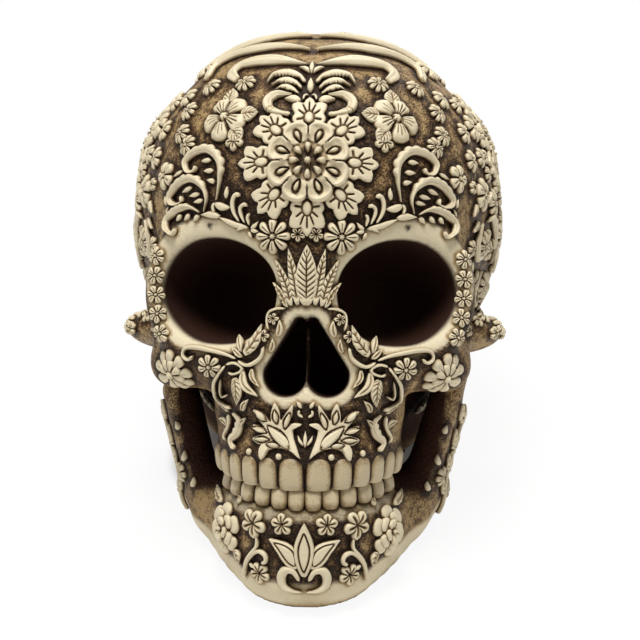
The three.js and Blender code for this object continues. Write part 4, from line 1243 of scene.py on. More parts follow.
def wash_group() -> bpy.types.NodeTree:
    """A pale cast that has been washed with brown and wiped: dark where the cavity mask is high, which also
    carries painted shade.
    """
    tint, value = "NodeSocketColor", "NodeSocketFloat"
    inputs = {"Pale": tint, "Tan": tint, "Wash": tint, "Cavity": value, "Unevenness": value}
    tree = new_group("AntiqueWash", inputs, {"Color": tint, "Depth": value})
    net = Net(tree)
    given = net.put("NodeGroupInput").outputs
    place = net.put("ShaderNodeTexCoord").outputs["Object"]
    cloud = net.sum("SUBTRACT", net.noise(place, 75, 3), 0.5)
    fleck = net.sum("SUBTRACT", net.noise(place, 430, 4), 0.5)
    speck = net.sum("SUBTRACT", net.noise(place, 1500, 2), 0.5)
    broad = net.sum("ADD", net.sum("MULTIPLY", cloud, 0.8), fleck)
    stain = net.sum("ADD", broad, net.sum("MULTIPLY", speck, 1.1))
    depth = net.sum("ADD", given["Cavity"], net.sum("MULTIPLY", stain, given["Unevenness"]))
    first = net.mix(net.ramp(depth, 0.12, 0.5), given["Pale"], given["Tan"])
    tone = net.mix(net.ramp(depth, 0.45, 0.9), first, given["Wash"])
    net.put("NodeGroupOutput", {"Color": tone, "Depth": depth})
    return tree


def crevice_group() -> bpy.types.NodeTree:
    """Wash and painted shade: 1 in narrow places between raised forms, where wash is held and shade falls."""
    value = "NodeSocketFloat"
    tree = new_group("CreviceMask", {"Reach": value}, {"Crevice": value})
    net = Net(tree)
    given = net.put("NodeGroupInput").outputs
    # painted shade: ambient occlusion darkens narrow enclosed places, along with the wash held there
    open_share = net.put("ShaderNodeAmbientOcclusion", {"Distance": given["Reach"]}, samples=8).outputs["AO"]
    net.put("NodeGroupOutput", {"Crevice": net.ramp(open_share, 0.92, 0.35)})
    return tree


def grain_group() -> bpy.types.NodeTree:
    """The fine pitted grain of a resin cast, as a height."""
    value = "NodeSocketFloat"
    tree = new_group("CastGrain", {"Pits": value, "Scale": value}, {"Height": value})
    net = Net(tree)
    given = net.put("NodeGroupInput").outputs
    place = net.put("ShaderNodeTexCoord").outputs["Object"]
    fine = net.noise(place, 1600, 2)
    cells = net.put("ShaderNodeTexVoronoi", {"Vector": place, "Scale": given["Scale"]}, feature="F1")
    pit = net.ramp(cells.outputs["Distance"], 0.1, 0.55)
    height = net.sum("ADD", net.sum("MULTIPLY", pit, given["Pits"]), net.sum("MULTIPLY", fine, 0.5))
    net.put("NodeGroupOutput", {"Height": height})
    return tree


@dataclass(frozen=True)
class Palette:
    """The colours of one surface, from its rubbed tops to its deepest wash, which also serves as painted
    shade.
    """

    pale: tuple[int, int, int]
    tan: tuple[int, int, int]
    wash: tuple[int, int, int]


IVORY = Palette((228, 214, 181), (178, 152, 110), (50, 31, 17))
GROUND = Palette((174, 146, 100), (102, 77, 49), (42, 27, 15))
ENAMEL = Palette((199, 182, 147), (146, 122, 84), (42, 26, 13))


class Finishes:
    """Makes the materials of the skull, over three groups that they share."""

    def __init__(self) -> None:
        """Makes the shared groups first."""
        self.wash = wash_group()
        self.grain = grain_group()
        self.crevice = crevice_group()
        self.relief = self._relief()
        self.bone = self._bone()
        self.tooth = self._tooth()
        self.felt = self._felt()
        self.plug = self._plug()

    def _washed(self, net: Net, colours: Palette, cavity: "Socket | float", uneven: float) -> bpy.types.Node:
        """The wash group with one palette."""
        inputs = {"Pale": srgb(*colours.pale), "Tan": srgb(*colours.tan), "Wash": srgb(*colours.wash)}
        inputs |= {"Cavity": cavity, "Unevenness": uneven}
        return net.put("ShaderNodeGroup", inputs, node_tree=self.wash)

    def _crevice(self, net: Net, reach: float) -> Socket:
        """The crevice mask of wash and painted shade, for forms about that far apart, in metres."""
        return net.put("ShaderNodeGroup", {"Reach": reach}, node_tree=self.crevice).outputs["Crevice"]

    def _grained(self, net: Net, pits: float, scale: float, depth: float,
                 share: "Socket | float" = 1.0) -> Socket:
        """A bumped normal from the grain group, in full or in part."""
        made = net.put("ShaderNodeGroup", {"Pits": pits, "Scale": scale}, node_tree=self.grain)
        height = net.sum("MULTIPLY", made.outputs["Height"], share)
        inputs = {"Height": height, "Strength": 0.6, "Distance": depth}
        return net.put("ShaderNodeBump", inputs).outputs["Normal"]

    @staticmethod
    def _close(net: Net, colour: Socket, rough: "Socket | float", normal: "Socket | None",
               sheen: float = 0.35) -> None:
        """Ends a material in a Principled BSDF."""
        inputs = {"Base Color": colour, "Roughness": rough, "Specular IOR Level": sheen}
        if normal is not None:
            inputs["Normal"] = normal
        shader = net.put("ShaderNodeBsdfPrincipled", inputs)
        net.put("ShaderNodeOutputMaterial", {"Surface": shader.outputs[0]})

    def _relief(self) -> bpy.types.Material:
        """Raised ornament: ivory tops, brown wash in its cuts, and wash with painted shade at its foot and in
        crevices.
        """
        made, net = new_material("relief_ivory")
        # wash with painted shade: darker toward the foot of each raised form and between forms
        foot = net.ramp(net.mask("rise"), 0.62, 0.08)
        cut = net.sum("MULTIPLY", net.mask("groove"), 0.95)
        cavity = net.sum("MAXIMUM", net.sum("MULTIPLY", foot, 0.8), cut)
        cavity = net.sum("MAXIMUM", cavity, self._crevice(net, 0.0035))
        tone = self._washed(net, IVORY, cavity, 0.3)
        rough = net.ramp(tone.outputs["Depth"], 0.0, 0.8, 0.42, 0.68)
        self._close(net, tone.outputs["Color"], rough, self._grained(net, 0.4, 900, 0.0002))
        return made

    def _bone(self) -> bpy.types.Material:
        """Pitted golden ground, plain rims, dark hollows, and painted shade under the head and inside the
        jaw.
        """
        made, net = new_material("bone_ground")
        crevice = self._crevice(net, 0.005)
        shade = net.sum("MAXIMUM", net.sum("MULTIPLY", net.mask("near"), 0.66), crevice)
        ground = self._washed(net, GROUND, net.sum("ADD", shade, 0.3), 1.25)
        # pale bands: wash, with painted shade beside the ornament and under the jaw
        plain_wash_and_shade = net.sum("MAXIMUM", net.mask("worn"), net.sum("MULTIPLY", crevice, 0.8))
        plain = self._washed(net, IVORY, plain_wash_and_shade, 0.14)
        colour = net.mix(net.mask("plain"), ground.outputs["Color"], plain.outputs["Color"])
        # dark brown of the hollows, also painted shade under the head and inside the jaw
        colour = net.mix(net.mask("hollow"), colour, srgb(50, 27, 16))
        rough = net.ramp(net.mask("hollow"), 0, 1, 0.5, 0.9)
        grain = self._grained(net, 1.0, 900, 0.0009, net.ramp(net.mask("plain"), 0, 1, 1.0, 0.15))
        self._close(net, colour, rough, grain, 0.22)
        return made

    def _tooth(self) -> bpy.types.Material:
        """Teeth: ivory, with brown where they meet the gum and each other."""
        made, net = new_material("tooth_enamel")
        tone = self._washed(net, ENAMEL, net.mask("groove"), 0.35)
        self._close(net, tone.outputs["Color"], 0.4, self._grained(net, 0.3, 900, 0.00015), 0.45)
        return made

    def _felt(self) -> bpy.types.Material:
        """Brown felt of the feet."""
        made, net = new_material("felt_brown")
        place = net.put("ShaderNodeTexCoord").outputs["Object"]
        fluff = net.noise(place, 2600, 5)
        colour = net.mix(fluff, srgb(46, 34, 28), srgb(92, 74, 60))
        normal = net.put("ShaderNodeBump", {"Height": fluff, "Distance": 0.0004}).outputs["Normal"]
        self._close(net, colour, 0.95, normal, 0.1)
        return made

    def _plug(self) -> bpy.types.Material:
        """The cast plug under the head, unpainted but stained."""
        made, net = new_material("plug_resin")
        tone = self._washed(net, GROUND, 0.25, 0.8)
        self._close(net, tone.outputs["Color"], 0.6, self._grained(net, 0.8, 500, 0.0003))
        return made


# Castings

@dataclass
class ToothRow:
    """One row of teeth, cast in one piece with rounded crowns."""

    name: str
    widths: Sequence[float]
    gum_drop: float
    edge_drop: float
    set_back: float = 0.0
    arch_half_width: float = 31.0
    arch_depth: float = 38.0
    thickness: float = 7.0
    proud: float = 1.9
    root: float = 1.6
    lap: float = 0.72
    neck: float = 0.92

    def build(self, finish: bpy.types.Material) -> Array:
        """Makes the row.

        Args:
            finish: its material.

        Returns:
            Points round the roots, for the wash and the painted shade on the gum.
        """
        points, faces, dark = [], [], []
        for side in (1, -1):
            angle = 0.0
            for place, width in enumerate(self.widths):
                angle += self._half_step(angle, width)
                crown, mask = self._crown(side, angle, place, width)
                faces.extend(body_faces(*crown.shape[:2], sum(map(len, points))))
                points.append(body_points(crown))
                dark.append(body_points(mask[..., None])[:, 0])
                angle += self._half_step(angle, width)
        cloud, mask = np.vstack(points), np.concatenate(dark)
        row = mesh_object(self.name, cloud, faces, {"groove": mask}, finish)
        seat(row, [self.name])
        return cloud[mask > 0.6]

    def _half_step(self, angle: float, width: float) -> float:
        """The angle that half a tooth takes on the arch."""
        along = math.hypot(self.arch_half_width * math.cos(angle), self.arch_depth * math.sin(angle))
        return width / 2 / along

    def _crown(self, side: int, angle: float, place: int, width: float) -> tuple[Array, Array]:
        """One tooth as rows from its biting edge to its root, and its wash mask."""
        half_width = self.arch_half_width - self.set_back
        heading = math.atan2(side * self.arch_depth * math.sin(angle), half_width * math.cos(angle))
        way = np.array([math.cos(heading), math.sin(heading), 0.0])
        out = np.array([math.sin(heading), -math.cos(heading), 0.0])
        y = self.arch_depth - BITE_FORWARD + self.thickness / 2 + self.set_back
        y -= self.arch_depth * math.cos(angle)
        middle = np.array([side * half_width * math.sin(angle), y, 0.0]) + out * self.proud
        middle[2] = bite_rise(y) - self.edge_drop
        up = 1.0 if self.edge_drop > self.gum_drop else -1.0
        tall = abs(self.edge_drop - self.gum_drop) * (1 - 0.035 * place) + self.root
        t = np.concatenate([np.linspace(0, 0.1, 5), np.linspace(0.16, 0.7, 8), np.linspace(0.76, 1, 8)])
        toe = np.sqrt(1 - (1 - np.clip(t / 0.2, 0, 1)) ** 2)
        cap = np.sqrt(1 - np.clip((t - 0.5) / 0.5, 0, 1) ** 3.2)
        girth = np.interp(t, [0, 0.3, 1], [0.94, 1.0, self.neck])
        swell = np.interp(t, [0, 0.3, 0.7, 1], [0.6, 0.88, 1.06, 1])
        wide = (width / 2 + self.lap) * girth * (0.56 + 0.44 * toe) * cap
        deep = self.thickness / 2 * swell * (0.3 + 0.7 * toe) * cap
        wide[0] = deep[0] = 0
        round_way = np.linspace(0, 2 * math.pi, 40, endpoint=False)
        if up < 0:
            round_way = -round_way
        c, s = np.cos(round_way), np.sin(round_way)
        across = np.sign(c) * np.abs(c) ** 0.82
        depth = np.sign(s) * np.abs(s) ** 0.92
        crown = middle + wide[:, None, None] * across[None, :, None] * way
        crown = crown + deep[:, None, None] * depth[None, :, None] * -out
        crown[..., 2] += up * tall * t[:, None]
        edge = smooth(0.76, 0.9, np.abs(across))[None, :] * smooth(0.0, 0.12, t)[:, None]
        stain = 0.14 + 0.24 * smooth(0.45, 0.85, np.abs(across))[None, :]
        stain = stain + 0.22 * smooth(0.5, 0.85, t)[:, None]
        mask = np.maximum(np.maximum(smooth(0.86, 0.98, t)[:, None], edge), stain)
        return crown, mask


@dataclass
class BoneCasting:
    """A cast bone with the masks of its wash and of its painted shade."""

    name: str
    shape: Shape

    def build(self, finish: bpy.types.Material, ornament: kdtree.KDTree) -> None:
        """Nets the bone and dresses it.

        Args:
            finish: its material.
            ornament: points round every relief and tooth.
        """
        points, quads = self.shape.net()
        away = np.array([ornament.find(p)[2] for p in points])
        # painted shade with wash: the ground darkens near every relief and tooth
        masks = {"near": np.exp(-((away / 2.2) ** 2)), "hollow": self.hollow(points)}
        masks["plain"] = self.plain(points)
        # painted shade with wash on the pale bands right beside the ornament and teeth
        masks["worn"] = self.worn(points) + 0.5 * np.exp(-((away / 1.0) ** 2))
        made = mesh_object(self.name, points, quads, masks, finish)
        seat(made, [self.name])

    def hollow(self, p: Array) -> Array:
        """1 in the dark hollows, and where shade is painted."""
        raise NotImplementedError

    def plain(self, p: Array) -> Array:
        """1 on smooth pale bands."""
        raise NotImplementedError

    def worn(self, p: Array) -> Array:
        """How much the pale bands are darkened by wash and by painted shade."""
        return np.full(len(p), 0.08)


@dataclass
class CraniumCasting(BoneCasting):
    """The cranium, with its dark sockets, painted shade under the head and behind the teeth, and its pale
    rims.
    """

    nerve_holes: Sequence[Pair] = ((35.2, 22.3), (30.4, -31.3))

    def hollow(self, p: Array) -> Array:
        """1 in the eye sockets and in the nose, and as painted shade under the head and behind the teeth."""
        eye = smooth(1.2, 0.2, self.shape.eye(p))
        nose = smooth(1.1, 0.1, self.shape.nose(p)) * (p[:, 1] < 20)
        # painted shade under the head and behind the teeth
        under = smooth(-22, -30, p[:, 2]) * smooth(22, 30, p[:, 1]) * smooth(96, 78, p[:, 1])
        mouth = smooth(3.0, 6.0, p[:, 1]) * smooth(-62, -66, p[:, 2])
        holes = [np.hypot(np.abs(p[:, 0]) - x, p[:, 2] - z) for x, z in self.nerve_holes]
        holes = smooth(1.5, 0.5, np.min(holes, axis=0)) * (p[:, 1] < 15)
        return np.max([eye, nose, under, mouth, holes], axis=0)

    def plain(self, p: Array) -> Array:
        """1 on the rims of the eyes and of the nose."""
        q = self.shape.in_eye(p)
        reach = 4.4 + 2.4 * np.clip(q[:, 2] / 20, -0.4, 1) + 1.2 * np.clip(q[:, 0] / 20, -1, 1)
        eye = smooth(1.2, 0.0, self.shape.eye(p) - reach)
        nose = smooth(4.6, 3.2, self.shape.nose(p)) * (p[:, 1] < 10)
        return np.maximum(eye, nose)


@dataclass
class JawCasting(BoneCasting):
    """The jaw, with painted shade inside, a pale lower edge and a pale ledge under its teeth."""

    gap_edge: Sequence[tuple[float, float]] = ((-82, 38.5), (-75, 42.5), (-60, 48.0), (-41, 50.5))

    def hollow(self, p: Array) -> Array:
        """Painted shade: 1 on the faces that look inward, and on the branches beside the mouth."""
        # painted shade on faces that turn inward or back and on the branches beside the mouth, where shade
        # falls
        normal = unit(self.shape.slope(p, self.shape.skin))
        inward = -normal[:, 0] * np.sign(p[:, 0])
        inner = smooth(0.1, 0.5, inward) * smooth(4, 10, p[:, 1])
        behind = smooth(0.2, 0.6, normal[:, 1]) * (np.abs(p[:, 0]) < 34)
        reach = np.interp(p[:, 2], *np.transpose(self.gap_edge))
        beside = smooth(0.8, -0.8, np.abs(p[:, 0]) - reach)
        beside = beside * smooth(14, 18, p[:, 1]) * smooth(-77, -73, p[:, 2])
        return np.max([inner, behind, beside], axis=0)

    def worn(self, p: Array) -> Array:
        """Wash in broad patches, and painted shade that darkens the band toward its lower edge."""
        patches = np.sin(0.21 * p[:, 0] + 1.1) * np.sin(0.17 * p[:, 1] + 0.26 * p[:, 2])
        # painted shade: darker over the last 7 mm above the table, on the underside of the band
        return 0.14 + 0.1 * patches + 0.3 * smooth(7.0, 0.5, HEAD.above_table(p))

    def plain(self, p: Array) -> Array:
        """1 on the lower edge, and most of 1 under the teeth."""
        gum = p[:, 2] + self.shape.gum_drop - bite_rise(p[:, 1])
        ledge = 0.5 * smooth(-3.6, -2.0, gum) * smooth(24, 16, p[:, 1])
        return np.maximum(smooth(13.5, 11.0, HEAD.above_table(p)), ledge)


@dataclass
class Septum:
    """The thin plate that stands in the nose hollow."""

    half_thickness: float = 0.8
    top: float = -10.6
    bottom: float = -31.4
    half_length: float = 7.6

    def build(self, finish: bpy.types.Material) -> None:
        """Makes the plate with a wavy front edge."""
        z = np.linspace(self.bottom, self.top, 26)
        s = np.linspace(0, 1, 26)
        swell = np.sqrt(np.maximum(1 - (2 * s - 1) ** 4, 0))
        turn = np.linspace(0, 2 * math.pi, 24, endpoint=False)
        front = (1 - 0.3 * s + 0.07 * np.sin(9 * s))[:, None] * np.cos(turn)[None, :]
        y = 0.6 + self.half_length * swell[:, None] * np.where(front < 0, front, np.cos(turn)[None, :])
        thin = np.sign(np.sin(turn)) * np.abs(np.sin(turn)) ** 0.5
        x = self.half_thickness * swell[:, None] * thin[None, :]
        grid = np.stack([-x, y, np.repeat(z[:, None], 24, 1)], -1)
        points = body_points(grid)
        masks = {name: np.full(len(points), share) for name, share in
                 {"near": 0.7, "hollow": 0.45, "plain": 0.0, "worn": 0.3}.items()}
        made = mesh_object("nasal_septum", points, body_faces(*grid.shape[:2]), masks, finish)
        seat(made, ["nasal_septum"])


@dataclass
class FeltPads:
    """Four round felt feet with soft edges."""

    nodes: Sequence[str] = ("front_pad_right", "front_pad_left", "rear_pad_right", "rear_pad_left")

    def build(self, finish: bpy.types.Material) -> None:
        """Makes each pad where its CAD node is."""
        for node in self.nodes:
            low, high = (1000 * np.array(end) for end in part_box(node))
            middle, half = (low + high) / 2, (high - low) / 2
            turn = np.linspace(0, 2 * math.pi, 48, endpoint=False)
            rim = [(0, -1), (0.5, -1), (0.93, -1), (1, -0.75), (1, 0), (1, 0.75), (0.93, 1), (0.5, 1), (0, 1)]
            rows = [[(half[0] * r * math.cos(a), half[1] * r * math.sin(a), half[2] * h) for a in turn]
                    for r, h in rim]
            grid = (np.array(rows) + middle - HEAD.shift) @ HEAD.turn
            pad = mesh_object(node, body_points(grid), body_faces(*grid.shape[:2]), {}, finish)
            seat(pad, [node])


# Ornament

@dataclass
class Ornament:
    """Base of the ornament classes: draws on the two bones through one carver."""

    carver: Carver
    cranium: CraniumShape
    jaw: JawShape

    @property
    def bone(self) -> Shape:
        """The bone that the ornament lies on."""
        return self.cranium

    def pair(self, name: str, stands_for: bool = True) -> Piece:
        """Starts a piece for the right side and the left, for its CAD nodes or for the look alone."""
        nodes = [name + RIGHT] if stands_for else []
        return self.carver.piece(name + RIGHT, self.bone, nodes, mirrored=True)

    def single(self, name: str, stands_for: bool = True, both: bool = False) -> Piece:
        """Starts a piece on the middle line, with its forms on one side or repeated on both."""
        return self.carver.piece(name, self.bone, [name] if stands_for else [], both=both)

    def flower(self, piece: Piece, form: Disc, u: float, v: float, degrees: float = 0.0,
               laying: Laying = Laying.SIGHT) -> Spot:
        """Lays a flower where a ray meets the bone, and returns that place."""
        spot = Spot.at(piece.shape, laying, u, v, degrees)
        self.carver.disc(piece, form, spot)
        return spot

    def strokes(self, piece: Piece, forms: Iterable[Ribbon], laying: "Laying | Spot" = Laying.SIGHT) -> None:
        """Lays several ribbons."""
        for form in forms:
            self.carver.ribbon(piece, form, laying)

    def shield_leaf(self, piece: Piece, spot: Spot, degrees: float, out: float,
                    size: tuple[float, float, float]) -> None:
        """Lays one shield leaf of a wreath."""
        self.carver.disc(piece, shield(*size).placed(*heading(degrees, out), degrees), spot)


@dataclass
class ForeheadOrnament(Ornament):
    """The rosette with its leaves, the crest over it, the plumes and the temple flowers."""

    rosette_rise: float = 46.3
    rosette_radius: float = 15.3
    leaf_middle: float = 18.5
    leaf_length: float = 16.4
    leaf_width: float = 13.8
    crest_back: float = -6.0
    temple_flower: Pair = (30.4, 61.5)
    small_flowers: Sequence[Pair] = ((23.8, 74), (36.5, 72.6), (44.5, 63.9), (46.6, 55.8), (44.4, 51.6))
    plumes: Sequence[Sequence[Pair]] = (
        ((27, 7), (29.3, 13), (25.9, 15.5), (18.2, 12.4), (9, 7.5), (1.4, 3.7)),
        ((39.7, 25.6), (38, 35), (30, 34.5), (18.5, 25.7), (9.2, 19.7), (1.4, 14.4)),
        ((44, 46), (41, 53.5), (31, 53), (19, 45), (9, 38), (1.4, 33)))

    def build(self) -> None:
        """Draws the forehead."""
        rosette = self.single("forehead_rosette")
        spot = self.flower(rosette, blossom(Petal.RIMMED, 8, self.rosette_radius, 4.3), 0, self.rosette_rise)
        for n in range(8):
            name = f"forehead_leaf_{n + 1}"
            piece = self.single(name)
            self.shield_leaf(piece, spot, 45 * n, self.leaf_middle, (self.leaf_length, self.leaf_width, 2.3))
        self._crest()
        self._plumes()
        self._temples()
        self._scatter()

    def _crest(self) -> None:
        """The crest of curls over the rosette."""
        piece = self.single("crown_crest", both=True)
        curl = [(6.4, 69.6), (11.6, 69.7), (14.9, 67.5), (14.4, 64.8), (11.0, 63.3), (6.6, 62.6)]
        tiers = [([(12.6, 71.2), (9.4, 72.6), (6.6, 71.8), (4.2, 70.0)], 2.4, 5),
                 ([(14.0, 73.2), (9.6, 75.0), (5.8, 74.2), (3.2, 72.0)], 2.6, 6),
                 ([(15.6, 74.2), (13.2, 76.9), (8.4, 77.8), (4.2, 76.4), (2.0, 74.0)], 3.0, 7)]
        self.strokes(piece, [scroll(curl, 3.6, 2.9, 0, 6)])
        self.strokes(piece, [scroll(path, width, 2.4, scallops) for path, width, scallops in tiers])
        self.strokes(piece, [leaf((3.0, 67.2), (8.9, 68.2), 3.0, 0.1, 2.4, midrib=0),
                             stroke([(2.6, 64.8), (4.4, 66.4), (3.2, 68.4)], 1.1, 1.8, 0.8, 0.8),
                             stroke([(0.5, 69.7), (1.9, 69.5), (2.4, 67.9)], 1.1, 1.8, 0.8, 0.8)])
        bud = self.single("crown_crest_bud", stands_for=False)
        self.strokes(bud, [leaf((0, 70.6), (0, 75.4), 2.4, 0, 2.5, midrib=0),
                           leaf((0, 77.8), (0, 81.4), 1.8, 0, 2.2, midrib=0)])
        self.strokes(piece, [leaf((0.6, 78.0), (4.4, 79.6), 1.9, 0.1, 2.0, midrib=0)])
        self.flower(bud, ball(0.9, 1.6), 0, 67.6)

    def _plumes(self) -> None:
        """Three pairs of plumes over the crown."""
        for n, path in enumerate(self.plumes, 1):
            piece = self.pair(f"crown_plume_{n}")
            route = [(x, self.crest_back + back) for x, back in path]
            self.carver.ribbon(piece, plume(route, 6.4 + n, 3.0), Laying.TOP)

    def _temples(self) -> None:
        """The veined flowers over the temples, with their leaves."""
        piece = self.pair("temple_flower")
        spot = self.flower(piece, blossom(Petal.VEINED, 5, 9.4, 2.9), *self.temple_flower, 20)
        for angle in (62, 150, 205):
            c, s = heading(angle)
            self.carver.ribbon(piece, leaf((6 * c, 6 * s), (13.4 * c, 13.4 * s), 6.2, 0, 2.0, 5), spot)

    def _scatter(self) -> None:
        """Small flowers in the gaps."""
        piece = self.pair("forehead_small_flowers", stands_for=False)
        for n, place in enumerate(self.small_flowers):
            self.flower(piece, blossom(Petal.SLIM, 8, 4.1, 1.9), *place, 17 * n)
        self.flower(piece, blossom(Petal.STAR, 5, 3.8, 2.0), 26.8, 53.4, 90)


@dataclass
class BrowOrnament(Ornament):
    """The scrolls, flowers and sprigs over each eye, and the leaves between the eyes."""

    scrolls: Sequence[Sequence[Pair]] = (
        ((32.7, 32.2), (31.7, 39.2), (31.9, 45.7), (35.8, 49.9), (41, 49), (44.2, 45.6), (43.6, 42.3),
         (41.2, 42.2), (40.6, 44.2)),
        ((37.2, 27.8), (36.5, 32.8), (38, 37), (42.4, 39.6), (47.2, 37.4), (49.9, 32.8), (48.3, 30.2),
         (45.6, 31), (45.8, 33.4)),
        ((38.9, 27.6), (42.8, 29.3), (47.2, 28), (50.8, 24.5), (51.2, 21), (49.2, 19.6), (47.8, 21.4)))
    seeds: Sequence[tuple[float, float, float, float]] = (
        (36.8, 46.3, -10, 3.9), (35.9, 42.6, -5, 3.8), (34.9, 39, 12, 3.4), (43.8, 35.8, -30, 4.2),
        (41, 33.9, -15, 4.2), (39.5, 31.6, -15, 4), (40.3, 25.7, -50, 3.2), (43.7, 25.8, -50, 3.2),
        (46.8, 25.5, -55, 3.2), (47.3, 41.4, -30, 4), (52, 31.6, 80, 3.4), (51.2, 28.2, 110, 3.2))

    def build(self) -> None:
        """Draws the brows."""
        for n, path in enumerate(self.scrolls, 1):
            piece = self.pair(f"brow_scroll_{n}")
            self.carver.ribbon(piece, scroll(path, 2.6, 2.7, 8))
        beads = self.pair("brow_seeds", stands_for=False)
        self.strokes(beads, [seed(*place, 1.9) for place in self.seeds])
        self._flowers()
        self._sprig()
        self._bridge()

    def _flowers(self) -> None:
        """The flower over the inner end of each brow, and the two stars between."""
        piece = self.pair("brow_flower")
        self.flower(piece, blossom(Petal.SLIM, 8, 6.4, 2.6), 12.2, 19.4, 22.5)
        stars = self.single("brow_stars", stands_for=False, both=True)
        self.flower(stars, blossom(Petal.STAR, 5, 2.8, 1.9), 3.3, 20.2, 90)

    def _sprig(self) -> None:
        """The stem along the top of each eye rim, with its curls and leaves."""
        piece = self.pair("brow_sprig")
        curls = [([(24.2, 24.4), (26.4, 28), (26.9, 31.6), (25.8, 34.2), (24.2, 33.6)], 1.7),
                 ([(22.2, 24), (23.8, 27.2), (24, 29.6), (22.6, 30.8), (21.6, 30)], 1.4),
                 ([(20.6, 23.2), (21.4, 25.8), (20.8, 27.6)], 1.2),
                 ([(33.4, 27.4), (34, 29.6), (33.2, 31.2)], 1.4)]
        self.strokes(piece, [stroke(path, width, 1.9, 0.6, 1) for path, width in curls])
        leaves = [((31.2, 26.2), (38.4, 26.7), 2.5, 0.06), ((20.6, 22.2), (31.9, 26), 2.2, -0.04),
                  ((33.7, 31), (27.4, 29.6), 2.8, 0.1), ((29.2, 32.4), (29, 37), 1.8, 0),
                  ((22.2, 22.6), (25.4, 21.2), 1.4, 0.1), ((20.4, 22), (17.6, 24.6), 1.7, 0.1),
                  ((20.4, 21.6), (17.2, 21), 1.7, 0), ((21, 21.2), (19.6, 18.6), 1.5, 0)]
        self.strokes(piece, [leaf(a, b, w, bend, 1.9, midrib=0) for a, b, w, bend in leaves])

    def _bridge(self) -> None:
        """Leaves that fan up between the eyes."""
        piece = self.single("bridge_leaves")
        self.carver.ribbon(piece, leaf((0, -6.5), (0, 16.4), 7.8, 0, 2.6, 11, midrib=0.9))
        sides = self.single("bridge_side_leaves", stands_for=False, both=True)
        leaves = [((3.0, -6.2), (6.6, 14.8), 3.6, 0.02, 10), ((5.2, -6.4), (11, 11), 3.3, 0.05, 9),
                  ((6.6, -6.6), (11.6, 2.6), 2.6, 0.06, 6)]
        self.strokes(sides, [leaf(a, b, w, bend, 2.2, veins) for a, b, w, bend, veins in leaves])


